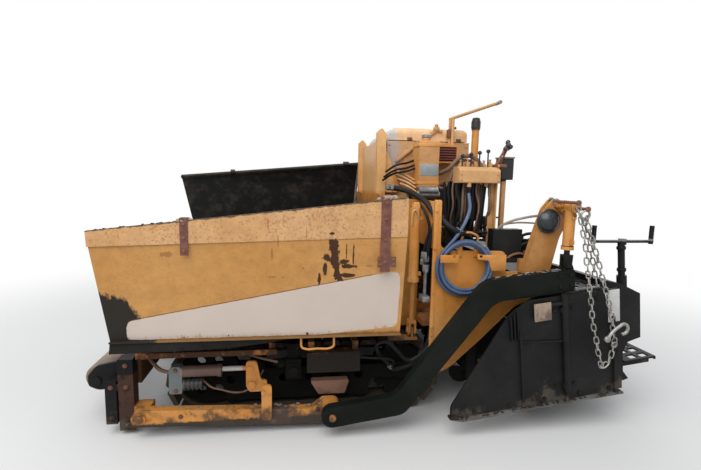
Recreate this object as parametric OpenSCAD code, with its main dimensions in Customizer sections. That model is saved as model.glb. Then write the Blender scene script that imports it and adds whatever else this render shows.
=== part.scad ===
/* [Hopper] */
// length of each wing along the machine
wing_length = 1746; // [1500:2:2000]
// sideways place of the wing hinge
hinge_y = 500; // [440:5:540]
// height of the wing hinge
hinge_z = 600; // [560:5:640]
// how far the right wing stands raised
right_raise = 37; // [0:1:38]

/* [Tracks] */
// distance between idler and drive sprocket
axle_gap = 1365; // [1235:65:1430]
// width of a track shoe
shoe_width = 280; // [200:10:300]
// middle of a track, sideways
track_y = 710; // [680:5:730]

/* [Screed] */
// half of the paving width at the end gates
gate_y = 1215; // [1150:5:1215]
// how far the screed stands lifted about its tow pins
screed_tilt = 6.8; // [0:0.1:8]
// radius of an auger flight
auger_r = 140; // [110:5:150]

/* [Engine] */
// height of the hood's top
hood_z = 2066; // [1950:2:2100]
// half width of the engine enclosure
engine_y = 400; // [340:5:430]

/* [Hidden] */
$fn = 48;
wx0 = -56;
wx1 = wx0 + wing_length;
tow_x = 355;
tow_z = 150;
pitch = 130;
pitch_r = pitch * 5.5 / 180 * 180 / 3.14159265;
axle_z = 262;
idler_x = 1180;
sprocket_x = idler_x - axle_gap;
shoes = 2 * axle_gap / pitch + 11;
roller_x = 1861;
roller_z = 321;
auger_x = -640;
auger_z = 330;
eye_x = -1182;
eye_z = 1119;
lift_x = -1187;
lift_z = 1490;
lift_y = 1150;
lamp_x = -1074;
lamp_z = 1397;
ram_y = 880;
ram_z = 1470;
ram_x = -225;
hood_x = -121;

// wash hose: radius, the coil's place and size, and the centreline from the gland down to the coil
hose_r = 11;
coil_x = -530;
coil_y = 1042;
coil_z = 1082;
coil_inner = 139;
coil_outer = 205;
coil_depth = 58;
hose_drop = [[-600, 880, 1612], [-600, 880, 1580], [-596, 905, 1545], [-584, 955, 1505],
             [-562, 1000, 1460], [-530, 1028, 1400], [-490, 1040, 1330], [-440, 1042, 1260],
             [-388, 1042, 1200], [-352, 1042, 1150], [-338, 1042, 1108]];

module box(a, b) {
  translate(a) cube(b - a);
}

module xz(y0, y1) {
  translate([0, y1, 0]) rotate([90, 0, 0]) linear_extrude(y1 - y0) children();
}

module yz(x0, x1) {
  translate([x0, 0, 0]) rotate([90, 0, 90]) linear_extrude(x1 - x0) children();
}

module along_x(x0, x1, y, z, r) {
  translate([x0, y, z]) rotate([0, 90, 0]) cylinder(h = x1 - x0, r = r);
}

module along_y(y0, y1, x, z, r) {
  translate([x, y0, z]) rotate([-90, 0, 0]) cylinder(h = y1 - y0, r = r);
}

module along_z(z0, z1, x, y, r) {
  translate([x, y, z0]) cylinder(h = z1 - z0, r = r);
}

module rod(a, b, r) {
  d = b - a;
  n = norm(d);
  translate(a) rotate([0, acos(d[2] / n), atan2(d[1], d[0])]) cylinder(h = n, r = r);
}

module tube_path(points, r) {
  for (i = [0 : len(points) - 2]) {
    rod(points[i], points[i + 1], r);
  }
  for (i = [1 : len(points) - 2]) {
    translate(points[i]) sphere(r = r * 1.08, $fn = 24);
  }
}

// arc of radius r that rounds corner b between a and c
function corner(a, b, c, r, steps = 4) =
  let (u = (a - b) / norm(a - b), v = (c - b) / norm(c - b), half = acos(u * v) / 2)
  let (mid = b + (u + v) / norm(u + v) * r / sin(half), start = b + u * r / tan(half) - mid)
  let (turn = (180 - 2 * half) * sign(cross(start, -u)))
  [for (k = [0 : steps]) let (t = turn * k / steps)
    mid + [start[0] * cos(t) - start[1] * sin(t), start[0] * sin(t) + start[1] * cos(t)]];

// outline whose points may carry a corner radius as their third number
function rounded(points) =
  [for (i = [0 : len(points) - 1])
    let (p = points[i], a = points[(i + len(points) - 1) % len(points)], c = points[(i + 1) % len(points)])
    each (len(p) > 2 ? corner([a[0], a[1]], [p[0], p[1]], [c[0], c[1]], p[2]) : [p])];

module both() {
  children();
  mirror([0, 1, 0]) children();
}

module lifted() {
  translate([tow_x, 0, tow_z]) rotate([0, screed_tilt, 0]) translate([-tow_x, 0, -tow_z]) children();
}

module raised(a) {
  translate([0, hinge_y, hinge_z]) rotate([a, 0, 0]) translate([0, -hinge_y, -hinge_z]) children();
}

// position and heading of a point s along the loop
function loop_at(s, g, r) =
  s < g ? [s, r, 0] :
  s < g + 180 * r * 3.14159265 / 180 ? let (a = (s - g) / r * 57.29578)
    [g + r * sin(a), r * cos(a), -a] :
  s < 2 * g + 3.14159265 * r ? [g - (s - g - 3.14159265 * r), -r, -180] :
  let (a = (s - 2 * g - 3.14159265 * r) / r * 57.29578)
    [-r * sin(a), -r * cos(a), -180 - a];

module stadium(g, r) {
  circle(r = r);
  translate([g, 0]) circle(r = r);
  translate([0, -r]) square([g, 2 * r]);
}

module wing_panel() {
  difference() {
    intersection() {
      yz(wx0, wx1) polygon([[1192, 700], [1200, 700], [1299, 1290], [1299, 1560],
                            [1291, 1560], [1291, 1291]]);
      xz(1100, 1400) polygon([[wx0, 690], [wx1 - 56, 690], [wx1, 1345], [wx0, 1545]]);
    }
    along_y(1200, 1400, wx0 + 60, 1500, 2);
  }
}

module wing() {
  color([0.78, 0.5, 0.2]) {
    wing_panel();
    xz(1299, 1305) polygon([[wx0, 1317], [wx1 - 4, 1260], [wx1, 1345], [wx0, 1545]]);
    xz(1275, 1291) polygon([[wx0, 1520], [wx1 - 2, 1322], [wx1, 1345], [wx0, 1545]]);
    yz(wx0, wx1 - 60) polygon([[535, 610], [1200, 700], [1200, 709], [535, 619]]);
    difference() {
      union() {
        along_x(wx0, wx1 - 90, hinge_y, hinge_z, 24);
        yz(wx0, wx1 - 90) polygon([[500, 610], [540, 611], [540, 619.5], [500, 622]]);
      }
      along_x(wx0 - 5, wx1 - 80, hinge_y, hinge_z, 14.05);
    }
    difference() {
      yz(wx0, wx0 + 8) polygon([[1090, 694], [1196, 702], [1294, 1288], [1294, 1530],
                                [1222, 1500], [1215, 1290], [1130, 800]]);
      along_x(wx0 - 5, wx0 + 15, 1255, 1440, 20);
    }
    box([wx0, 1196, 694], [wx1 - 56, 1226, 701]);
    for (x = [420, 1050]) {
      yz(x, x + 10) polygon(rounded([[530, 612], [1190, 700], [1190, 668, 20], [900, 640, 200],
                                     [560, 582, 20]]));
    }
    box([-262, 845, 540], [wx0 + 8, 915, 556]);
    yz(wx0, wx0 + 8) polygon([[845, 545], [915, 545], [915, 668], [845, 658]]);
    xz(874, 886) polygon([[-185, 550], [wx0 + 4, 550], [wx0 + 4, 655], [-60, 655]]);
    difference() {
      yz(-232, -218) polygon([[848, 550], [912, 550], [906, 612], [892, 628],
                              [868, 628], [854, 612]]);
      along_x(-240, -210, 880, 600, 14);
    }
  }
}

module straps() {
  color([0.4, 0.24, 0.16]) {
    box([1170, 1305, 1213], [1212, 1311, 1418]);
    box([1170, 1262, 1406], [1212, 1311, 1418]);
    box([46, 1305, 1111], [104, 1311, 1545]);
    box([10, 1305, 1140], [117, 1309, 1200]);
    box([46, 1262, 1533], [104, 1311, 1545]);
  }
}

module wing_left() {
  wing();
  straps();
}

module wing_right() {
  mirror([0, 1, 0]) raised(right_raise) {
    wing();
    straps();
  }
}

module wing_barrel_shape() {
  color([0.8, 0.5, 0.2]) difference() {
    union() {
      along_z(-518, 20, 0, 0, 34);
      along_z(-518, -490, 0, 0, 40);
      along_x(-20, 20, 0, 0, 34);
      for (z = [-476, -86]) {
        box([-52, -13, z], [-20, 13, z + 26]);
      }
    }
    along_z(-530, -60, 0, 0, 18.05);
    along_x(-40, 40, 0, 0, 14.05);
  }
}

module wing_rod_shape(reach) {
  color([0.75, 0.76, 0.78]) {
    along_z(-reach + 70, -reach + 570, 0, 0, 18);
    box([-26, -32, -reach + 56], [26, 32, -reach + 74]);
    for (x = [-26, 13]) {
      yz(x, x + 13) polygon([[-32, -reach + 60], [32, -reach + 60], [30, -reach - 12],
                             [14, -reach - 32], [-14, -reach - 32], [-30, -reach - 12]]);
    }
    along_x(26, 34, 0, -reach, 20);
    along_x(-34, -26, 0, -reach, 20);
  }
}

right_eye_y = hinge_y + (ram_y - hinge_y) * cos(right_raise);
right_eye_z = hinge_z + (ram_y - hinge_y) * sin(right_raise);
right_lean = atan((ram_y - right_eye_y) / (ram_z - right_eye_z));
right_reach = norm([ram_y - right_eye_y, ram_z - right_eye_z]);

module wing_barrel_left() {
  translate([ram_x, ram_y, ram_z]) wing_barrel_shape();
}

module wing_rod_left() {
  translate([ram_x, ram_y, ram_z]) wing_rod_shape(ram_z - hinge_z);
}

module wing_barrel_right() {
  translate([ram_x, -ram_y, ram_z]) rotate([right_lean, 0, 0]) wing_barrel_shape();
}

module wing_rod_right() {
  translate([ram_x, -ram_y, ram_z]) rotate([right_lean, 0, 0]) wing_rod_shape(right_reach);
}

module main_frame() {
  color([0.82, 0.52, 0.18]) both() {
    box([-390, 420, 488], [1578, 500, 560]);
    box([-390, 400, 300], [1500, 420, 560]);
    box([1578, 405, 305], [1600, 900, 552]);
    box([-75, 476, 550], [wx0 - 6, 524, 625]);
    box([wx1 - 84, 476, 550], [wx1 - 66, 524, 625]);
    box([1500, 430, 310], [1600, 490, 555]);
    box([1595, 430, 502], [wx1 - 62, 490, 555]);
    for (x = [520, 1000, 1380]) {
      yz(x, x + 10) polygon([[499, 490], [560, 490], [499, 420]]);
    }
    along_x(-80, wx1 - 60, hinge_y, hinge_z, 14);
    box([708, 890, 488], [1590, 960, 500]);
    box([708, 950, 488], [1590, 960, 523]);
    box([-760, 420, 560], [-100, 500, 700]);
    box([-760, 500, 600], [-330, 800, 640]);
  }
  color([0.2, 0.2, 0.2]) both() {
    box([150, 870, 350], [508, 960, 488]);
    for (x = [160, 460, 720, 1120, 1530]) {
      box([x, 490, 532], [x + 40, 930, 556]);
      box([x, 906, 485], [x + 40, 930, 540]);
    }
  }
}

module hopper_floor() {
  color([0.3, 0.3, 0.32]) {
    box([-318, -400, 560], [1458, 400, 572]);
    box([-420, -400, 900], [-120, 400, 912]);
    both() {
      box([-420, 388, 560], [-76, 400, 912]);
      yz(-60, 1590) polygon([[392, 560], [468, 560], [468, 600], [392, 600]]);
    }
  }
}

// two roller chains with an angle-bar slat bolted across them at every fourth link
module slat_conveyor() {
  reach = 1900;
  chain_r = 60;
  slats = 38;
  step = (2 * reach + 2 * 3.14159265 * chain_r) / slats;
  color([0.35, 0.34, 0.33]) translate([-380, 0, 520]) {
    for (y = [-330, -10, 310]) {
      xz(y, y + 20) difference() {
        stadium(reach, chain_r - 1);
        stadium(reach, chain_r - 8);
      }
    }
    for (i = [0 : slats - 1]) {
      p = loop_at(i * step, reach, chain_r);
      translate([p[0], 0, p[1]]) rotate([0, -p[2], 0])
        xz(-370, 370) polygon([[-22, -3], [22, -3], [22, 3], [-14, 3], [-16, 12], [-22, 12]]);
    }
    for (x = [0, reach]) {
      along_y(-400, 400, x, 0, 24);
      for (y = [-330, -10, 310]) {
        xz(y + 4, y + 16) translate([x, 0]) sprocket(chain_r - 7, 10, 9);
      }
    }
  }
}

// toothed disc: notches of radius notch bite into its rim
module sprocket(r, teeth, notch) {
  difference() {
    circle(r = r);
    for (i = [0 : teeth - 1]) {
      rotate((i + 0.5) * 360 / teeth) translate([r + 2, 0]) circle(r = notch, $fn = 10);
    }
  }
}

// leaf-shaped tip on top of each tower
tower_outline = [[-98, 1000], [-76, 1000], [-76, 1545], [-30, 1545, 12], [-30, 2012, 14], [-62, 2046, 10],
                 [-98, 2004, 16]];

module bulkhead() {
  color([0.8, 0.5, 0.2]) {
    difference() {
      yz(-76, -64) polygon([[-700, 572], [-700, 1000], [-820, 1100], [-820, 1545], [820, 1545],
                            [820, 1100], [700, 1000], [700, 572]]);
      box([-90, -388, 560], [-50, 388, 900]);
      both() box([-90, 470, 560], [-50, 540, 640]);
    }
    box([-76, -408, 1545], [-64, 408, 1960]);
    both() {
      xz(408, 418) polygon(rounded(tower_outline));
      xz(462, 472) polygon(rounded(tower_outline));
      box([-98, 408, 1000], [-88, 472, 1990]);
      box([-64, 408, 1530], [-54, 472, 2020]);
      xz(435, 445) polygon(rounded([[-92, 1560], [-232, 1560, 34], [-205, 1640, 60], [-120, 1860, 40],
                                    [-92, 1900]]));
      xz(418, 462) polygon([[-88, 1960], [-64, 1975], [-64, 1955], [-88, 1940]]);
      box([-121, 300, 1953], [-70, 320, 1979]);
      along_y(300, 320, hood_x, 1966, 15);
      along_y(296, 384, hood_x, 1966, 9);
    }
  }
}

module flow_gate() {
  color([0.7, 0.45, 0.2]) {
    box([-92, 6, 640], [-84, 380, 1010]);
    box([-112, 170, 900], [-92, 220, 1010]);
  }
}

module flow_gate_left() {
  flow_gate();
}

module flow_gate_right() {
  mirror([0, 1, 0]) flow_gate();
}

module engine_block() {
  color([0.16, 0.16, 0.17]) box([-640, -270, 930], [-160, 270, 1610]);
}

module engine_enclosure() {
  color([0.82, 0.66, 0.42]) both() {
    difference() {
      box([-780, engine_y - 12, 1180], [-121, engine_y, 1960]);
      for (i = [0 : 6]) {
        box([-730, engine_y - 20, 1240 + 40 * i], [-560, engine_y + 10, 1258 + 40 * i]);
      }
    }
    difference() {
      box([-790, 0, 1180], [-780, engine_y, 1960]);
      for (i = [0 : 11]) {
        box([-800, 40, 1240 + 50 * i], [-770, engine_y - 50, 1262 + 50 * i]);
      }
    }
  }
}

// hood with its front, rear and side edges rolled over; inset by the sheet's thickness for the inside
module hood_form(inset, base) {
  top = hood_z - inset;
  side = engine_y - inset;
  intersection() {
    xz(-side, side) polygon(rounded([[-770 + inset, base], [-125 - inset, base],
                                     [-125 - inset, top, 85 - inset], [-770 + inset, top, 45 - inset]]));
    yz(-771, -124) polygon(rounded([[-side, base], [side, base], [side, top, 50 - inset],
                                    [-side, top, 50 - inset]]));
  }
}

module hood() {
  color([0.85, 0.68, 0.45]) {
    difference() {
      union() {
        difference() {
          union() {
            hood_form(0, 1966);
            for (y = [-240 : 120 : 240]) {
              box([-690, y - 14, hood_z - 6], [-250, y + 14, hood_z + 6]);
            }
          }
          hood_form(8, 1960);
          both() along_y(294, 326, hood_x, 1966, 24);
        }
        both() along_y(326, 374, hood_x, 1966, 16);
      }
      both() along_y(290, 390, hood_x, 1966, 9.05);
    }
  }
}

module hydraulic_tank() {
  color([0.82, 0.52, 0.18]) both() {
    yz(-441, -292) polygon(rounded([[540, 1520, 24], [700, 1520, 24], [700, 1940, 24], [540, 1940, 24]]));
    along_z(1935, 1968, -366, 620, 30);
    along_x(-452, -280, 700, 1556, 20);
    difference() {
      xz(400, 560) polygon(rounded([[-640, 1790, 14], [-463, 1790, 14], [-463, 1930, 30],
                                    [-640, 1930, 30]]));
      for (i = [0 : 5]) {
        box([-622, 546, 1804 + 19 * i], [-481, 570, 1813 + 19 * i]);
      }
    }
    box([-441, engine_y, 1560], [-292, 545, 1600]);
  }
}

module side_plates() {
  color([0.8, 0.5, 0.19]) both() {
    xz(990, 1000) polygon(rounded([[-318, 1524], [-430, 1524, 40], [-835, 1190, 60], [-835, 1040, 20],
                                   [-1120, 1040], [-1120, 872], [-1060, 852, 90], [-925, 790, 160],
                                   [-690, 562, 300], [-477, 370, 160], [-395, 330, 40], [-318, 420]]));
    xz(1000, 1006) polygon(rounded([[-318, 1500], [-345, 1500], [-345, 470, 30], [-455, 395], [-430, 375],
                                    [-318, 440, 20]]));
    xz(650, 660) polygon([[-90, 600], [-90, 1515], [-327, 1517], [-327, 560], [-200, 560]]);
    box([-327, 660, 1200], [-318, 1000, 1515]);
  }
  color([0.82, 0.52, 0.18]) {
    for (x = [-635, -450]) {
      box([x, 1000, 1150], [x + 25, 1080, 1170]);
    }
    box([-470, 1073, 1118], [-345, 1080, 1170]);
    xz(1073, 1080) polygon([[-600, 1170], [-800, 1170], [-800, 1062], [-700, 1062], [-680, 1130],
                            [-600, 1140]]);
  }
}

module operator_deck() {
  color([0.25, 0.25, 0.26]) {
    box([-1090, -988, 1100], [-780, 988, 1130]);
    box([-1080, -600, 1124], [-860, 600, 1134]);
    both() xz(440, 470) polygon([[-760, 700], [-700, 700], [-700, 1100], [-1080, 1100], [-1080, 1070]]);
    both() box([-976, 870, 1130], [-763, 950, 1326]);
  }
}

module consoles() {
  color([0.86, 0.66, 0.42]) both() {
    yz(-816, -518) polygon(rounded([[786, 1640, 8], [900, 1640, 8], [900, 1728, 14], [862, 1752, 14],
                                    [786, 1752, 8]]));
    box([-816, 800, 1752], [-806, 880, 1770]);
    xz(815, 823) polygon([[-818, 1130], [-776, 1130], [-776, 1645], [-818, 1645]]);
    box([-818, 815, 1130], [-810, 865, 1645]);
    xz(820, 828) polygon([[-778, 1600], [-690, 1645], [-778, 1645]]);
    yz(-996, -907) polygon(rounded([[640, 1670, 8], [740, 1670, 8], [740, 1830, 20], [640, 1830, 20]]));
    box([-960, 680, 1130], [-930, 710, 1675]);
  }
  color([0.6, 0.5, 0.3]) along_z(1612, 1645, -600, 880, 15);
  color([0.1, 0.1, 0.1]) both() {
    for (i = [0 : 3]) {
      along_z(1750, 1820 + 12 * i, -560 - 62 * i, 840, 5);
      translate([-560 - 62 * i, 840, 1826 + 12 * i]) sphere(r = 14);
    }
  }
}

module grab_rails() {
  color([0.85, 0.55, 0.2]) {
    for (y = [438, 500]) {
      rod([-611, y, 1930], [-611, y, 2136], 11);
      translate([-611, y, 2136]) sphere(r = 12.5, $fn = 24);
      rod([-611, y, 2136], [-981, y, 2268], 11);
    }
    along_y(425, 513, -981, 2268, 14);
  }
}

module exhaust_stack() {
  color([0.8, 0.5, 0.2]) along_z(1720, 2060, -822, 440, 28);
  color([0.12, 0.12, 0.12]) translate([-822, 440, 0]) rotate_extrude()
    polygon([[0, 2056], [31, 2056], [36, 2080], [36, 2120], [27, 2150], [0, 2158]]);
  color([0.3, 0.3, 0.3]) box([-850, 400, 1700], [-760, 468, 1720]);
}

module hydraulic_hoses() {
  color([0.08, 0.08, 0.09]) both() {
    for (i = [0 : 3]) {
      tube_path([[-470 - 60 * i, 750 + 26 * i, 1600], [-490 - 52 * i, 750 + 26 * i, 1400],
                 [-600, 750 + 26 * i, 1200 + 30 * i], [-762, 750 + 26 * i, 1200 + 30 * i]], 10);
    }
    tube_path([[-100, 880, 330], [50, 935, 500], [-40, 955, 545], [-190, 955, 410],
               [-300, 950, 470], [-415, 950, 547]], 14);
  }
}

function heading(i, route) =
  let (d = route[min(i + 1, len(route) - 1)] - route[max(i - 1, 0)]) d / norm(d);

// rings of points square to a route, and the faces that skin them into one tube
module swept_tube(route, r, sides = 10) {
  rings = len(route);
  points = [for (i = [0 : rings - 1])
    let (t = heading(i, route), u = cross(t, [1, 0, 0]) / norm(cross(t, [1, 0, 0])), v = cross(t, u))
    for (k = [0 : sides - 1]) route[i] + r * (cos(360 * k / sides) * u + sin(360 * k / sides) * v)];
  skin = [for (i = [0 : rings - 2]) for (k = [0 : sides - 1]) let (n = (k + 1) % sides)
    [i * sides + k, i * sides + n, (i + 1) * sides + n, (i + 1) * sides + k]];
  start_cap = [for (k = [sides - 1 : -1 : 0]) k];
  end_cap = [for (k = [0 : sides - 1]) (rings - 1) * sides + k];
  polyhedron(points, concat(skin, [start_cap, end_cap]), convexity = 4);
}

module wash_hose() {
  color([0.3, 0.36, 0.45]) swept_tube(hose_drop, hose_r);
}

module hose_coil() {
  color([0.3, 0.36, 0.45]) translate([coil_x, coil_y, coil_z]) rotate([90, 0, 0]) rotate_extrude($fn = 60)
    translate([coil_inner, -coil_depth / 2]) square([coil_outer - coil_inner, coil_depth]);
}

module track_frames() {
  color([0.2, 0.19, 0.18]) both() {
    for (y = [track_y - 80, track_y + 55]) {
      difference() {
        xz(y, y + 25) polygon(rounded([[sprocket_x - 60, 215, 40], [40, 215, 30], [60, 95, 20],
                                       [1060, 95, 20], [1080, 215, 30], [idler_x + 60, 215, 40],
                                       [idler_x + 60, 320, 40], [sprocket_x - 60, 320, 40]]));
        for (x = [130 : 180 : 1030]) {
          along_y(y - 5, y + 30, x, 245, 30);
        }
      }
    }
    for (x = [200, 800]) {
      box([x, 420, 320], [x + 100, track_y + 80, 370]);
      box([x, 420, 300], [x + 100, track_y - 80, 320]);
    }
  }
}

module track_belts() {
  color([0.15, 0.15, 0.15]) both() {
    translate([sprocket_x, 0, axle_z]) {
      xz(track_y - 55, track_y + 55) difference() {
        stadium(axle_gap, pitch_r + 6);
        stadium(axle_gap, pitch_r - 18);
      }
      for (i = [0 : shoes - 1]) {
        p = loop_at(i * pitch, axle_gap, pitch_r);
        translate([p[0], 0, p[1]]) rotate([0, -p[2], 0]) {
          xz(track_y - shoe_width / 2, track_y + shoe_width / 2)
            polygon([[-62, 2], [58, 2], [62, 10], [54, 26], [46, 34], [-46, 34], [-54, 26], [-60, 12]]);
        }
      }
    }
  }
}

module track_wheels() {
  color([0.24, 0.23, 0.22]) both() {
    difference() {
      along_y(track_y - 30, track_y + 30, idler_x, axle_z, pitch_r - 18);
      for (i = [0 : 5]) {
        along_y(track_y - 40, track_y + 40, idler_x + 118 * cos(60 * i), axle_z + 118 * sin(60 * i), 34);
      }
    }
    xz(track_y - 30, track_y + 30) translate([sprocket_x, axle_z]) sprocket(pitch_r - 18, 11, 30);
    along_y(track_y - 90, track_y + 90, idler_x, axle_z, 40);
    along_y(420, track_y + 95, sprocket_x, axle_z, 50);
    for (x = [110, 335, 560, 785, 1010]) {
      translate([x, track_y, axle_z - pitch_r + 18 + 62]) rotate([-90, 0, 0]) rotate_extrude()
        polygon([[0, -50], [62, -50], [62, -34], [52, -28], [52, 28], [62, 34], [62, 50], [0, 50]]);
      along_y(track_y - 86, track_y + 86, x, axle_z - pitch_r + 18 + 62, 15);
    }
    for (x = [250, 850]) {
      along_y(track_y - 40, track_y + 40, x, axle_z + pitch_r - 18 - 45, 45);
    }
  }
}

module push_bar() {
  color([0.8, 0.5, 0.2]) {
    box([1600, -900, 400], [1680, 900, 500]);
    both() {
      for (y = [60, 855]) {
        xz(y, y + 25) polygon(rounded([[1670, 280, 20], [1840, 262, 30], [1912, 285, 30], [1912, 360, 30],
                                       [1860, 420, 40], [1670, 460]]));
      }
      along_y(60, 880, roller_x, roller_z, 20);
      along_y(880, 892, roller_x, roller_z, 30);
    }
  }
  color([0.13, 0.12, 0.12]) both() {
    box([1703, 900, 77], [1770, 985, 357]);
    box([1600, 900, 30], [1691, 985, 500]);
    box([1691, 900, 300], [1703, 985, 340]);
  }
}

module push_roller() {
  color([0.3, 0.29, 0.28]) difference() {
    translate([roller_x, 95, roller_z]) rotate([-90, 0, 0]) rotate_extrude()
      polygon([[0, 0], [62, 0], [62, 12], [81, 12], [89, 22], [89, 728], [81, 738], [62, 738], [62, 750],
               [0, 750]]);
    along_y(90, 850, roller_x, roller_z, 20.05);
  }
}

module roller_left() {
  push_roller();
}

module roller_right() {
  mirror([0, 1, 0]) push_roller();
}

module tow_levers() {
  color([0.82, 0.52, 0.18]) both() {
    xz(1000, 1060) polygon(rounded([[1580, 90, 30], [1602, 143, 30], [1570, 198, 40], [480, 152, 60],
                                    [410, 205, 30], [300, 205, 40], [300, 46, 30], [370, 46, 30]]));
    along_y(980, 1076, 1545, 143, 22);
    along_y(1060, 1068, 1545, 143, 38);
    along_y(1060, 1195, tow_x, tow_z, 22);
    box([1500, 900, 100], [1600, 985, 190]);
  }
}

module tow_linkage() {
  color([0.82, 0.52, 0.18]) both() {
    xz(1060, 1080) polygon(rounded([[737, 336, 22], [801, 336, 22], [801, 99, 22], [737, 99, 22]]));
    xz(965, 985) polygon(rounded([[906, 458, 20], [838, 458, 20], [812, 330, 20], [772, 322, 14],
                                  [772, 250, 26], [885, 250, 20], [906, 290, 20]]));
    along_y(1080, 1090, 769, 140, 15);
    along_y(985, 1092, 790, 290, 12);
    along_y(900, 1000, 872, 300, 26);
    along_x(1070, 1310, 960, 397, 36);
    along_x(1062, 1088, 960, 397, 41);
    along_x(905, 1070, 960, 405, 16);
    along_y(940, 990, 880, 405, 22);
  }
  color([0.42, 0.5, 0.56]) both() {
    xz(920, 985) polygon(rounded([[1307, 258, 12], [1386, 258, 12], [1386, 438, 26], [1307, 438, 26]]));
    along_x(1185, 1310, 950, 306, 34);
    for (x = [1185 : 26 : 1290]) {
      along_x(x, x + 12, 950, 306, 40);
    }
  }
  color([0.4, 0.26, 0.18]) both() {
    xz(900, 955) polygon(rounded([[222, 290, 10], [488, 290, 10], [430, 195, 14], [250, 195, 14]]));
  }
}

module auger_hangers() {
  color([0.2, 0.2, 0.2]) {
    box([auger_x - 40, -40, 240], [auger_x + 40, 40, 420]);
    box([auger_x - 20, -30, 420], [auger_x + 20, 30, 560]);
    both() {
      box([auger_x - 30, 950, 270], [auger_x + 30, 980, 560]);
      box([auger_x - 20, 30, 520], [auger_x + 20, 980, 560]);
    }
  }
}

// a helical flight swept from a thin sector round the shaft
flight_length = 870;
flight_pitch = 290;

module auger() {
  color([0.4, 0.38, 0.36]) {
    along_y(46, 944, auger_x, auger_z, 36);
    translate([auger_x, 60, auger_z]) rotate([-90, 0, 0])
      linear_extrude(flight_length, twist = 360 * flight_length / flight_pitch,
                     slices = round(flight_length / flight_pitch * 18))
        polygon([for (a = [-9, 9]) for (r = a < 0 ? [28, auger_r] : [auger_r, 28]) r * [cos(a), sin(a)]]);
  }
}

module auger_left() {
  auger();
}

module auger_right() {
  mirror([0, 1, 0]) auger();
}

module post_outline() {
  polygon(rounded([[-928, 1040], [-1119, 1040], [-1180, 1300, 200], [-1284, 1440, 40], [-1290, 1508, 30],
                   [-1107, 1545, 30], [-1052, 1480, 60], [-996, 1300, 200]]));
}

module lift_posts() {
  color([0.82, 0.52, 0.18]) both() {
    xz(1020, 1032) post_outline();
    intersection() {
      xz(1000, 1100) post_outline();
      translate([0, 0, 1040]) linear_extrude(510)
        polygon([[-900, 1082], [-1050, 1082], [-1300, 1054], [-1300, 1042], [-1050, 1070], [-900, 1070]]);
    }
    xz(1026, 1076) polygon([[-929, 1044], [-996, 1300], [-1060, 1478], [-1074, 1474], [-1010, 1298],
                            [-944, 1044]]);
    box([-1110, 988, 1040], [-930, 1082, 1060]);
    box([-1110, 988, 1060], [-930, 1020, 1130]);
    along_y(1020, 1108, lift_x, lift_z, 46);
    along_y(1020, 1202, lift_x, lift_z, 20);
    along_y(1190, 1202, lift_x, lift_z, 31);
    along_y(1026, 1104, lift_x + 52, lift_z + 20, 26);
    along_y(1026, 1098, lift_x - 62, lift_z - 6, 24);
    along_y(1040, 1082, lamp_x, lamp_z, 16);
  }
}

module lift_barrels() {
  color([0.8, 0.5, 0.2]) both() {
    translate([lift_x, lift_y, lift_z]) rotate([0, -lift_lean, 0]) difference() {
      union() {
        along_z(-275, 10, 0, 0, 34);
        along_z(-275, -252, 0, 0, 39);
        along_y(-24, 24, 0, 0, 36);
        for (z = [-238, -72]) {
          box([-14, 26, z], [14, 46, z + 28]);
        }
      }
      along_z(-300, -26, 0, 0, 18.05);
      along_y(-40, 40, 0, 0, 20.05);
    }
  }
}

lift_lean = atan((eye_x - lift_x) / (lift_z - eye_z));
lift_reach = norm([eye_x - lift_x, eye_z - lift_z]);

module lift_rods() {
  color([0.7, 0.7, 0.72]) both() {
    translate([lift_x, lift_y, lift_z]) rotate([0, -lift_lean, 0]) {
      along_z(-lift_reach + 60, -46, 0, 0, 18);
      box([-30, -26, -lift_reach + 50], [30, 26, -lift_reach + 64]);
      for (y = [-26, 13]) {
        xz(y, y + 13) polygon([[-30, -lift_reach + 52], [30, -lift_reach + 52], [28, -lift_reach - 10],
                               [12, -lift_reach - 24], [-12, -lift_reach - 24], [-28, -lift_reach - 10]]);
      }
      along_y(26, 34, 0, -lift_reach, 18);
    }
  }
}

module tow_arms() {
  color([0.14, 0.14, 0.15]) lifted() both() {
    difference() {
      xz(1120, 1180) union() {
        polygon(rounded([[355, 83], [-105, 90, 110], [-770, 748, 150], [-1326, 748, 24],
                         [-1333, 898, 24], [-715, 898, 190], [-57, 222, 130], [355, 217]]));
        translate([355, 150]) circle(r = 67);
      }
      along_y(1100, 1200, tow_x, tow_z, 22.05);
    }
    xz(1144, 1156) polygon(rounded([[-1340, 890], [-1230, 890], [-1252, 950, 30], [-1320, 950, 30]]));
  }
}

module screed_body() {
  wall = 8;
  color([0.13, 0.13, 0.14]) lifted() {
    difference() {
      xz(-1200, 1200) polygon([[-930, 70], [-945, 18], [-1560, 18], [-1600, 60], [-1600, 640],
                               [-1541, 748], [-1250, 748], [-1250, 560], [-930, 560]]);
      for (bay = [-2 : 1]) {
        xz(bay * 600 + wall, bay * 600 + 600 - wall)
          polygon([[-938, 76], [-950, 27], [-1556, 27], [-1592, 64], [-1592, 638], [-1536, 740],
                   [-1258, 740], [-1258, 600], [-938, 600]]);
      }
    }
    difference() {
      xz(-1130, 1130) polygon([[-1590, 60], [-1700, 30], [-1750, 40], [-1710, 100], [-1710, 240],
                               [-1750, 310], [-1848, 330], [-1848, 648], [-1704, 735], [-1541, 790],
                               [-1541, 740], [-1600, 640]]);
      xz(-1130 + wall, 1130 - wall) polygon([[-1610, 74], [-1690, 50], [-1700, 100], [-1700, 245],
                               [-1742, 318], [-1770, 325], [-1838, 325], [-1838, 642], [-1700, 725],
                               [-1560, 772], [-1550, 740], [-1610, 630]]);
      box([-1838, -1100, 300], [-1760, 1100, 345]);
    }
    both() along_z(640, 770, -1767, 1060, 32);
  }
}

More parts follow.
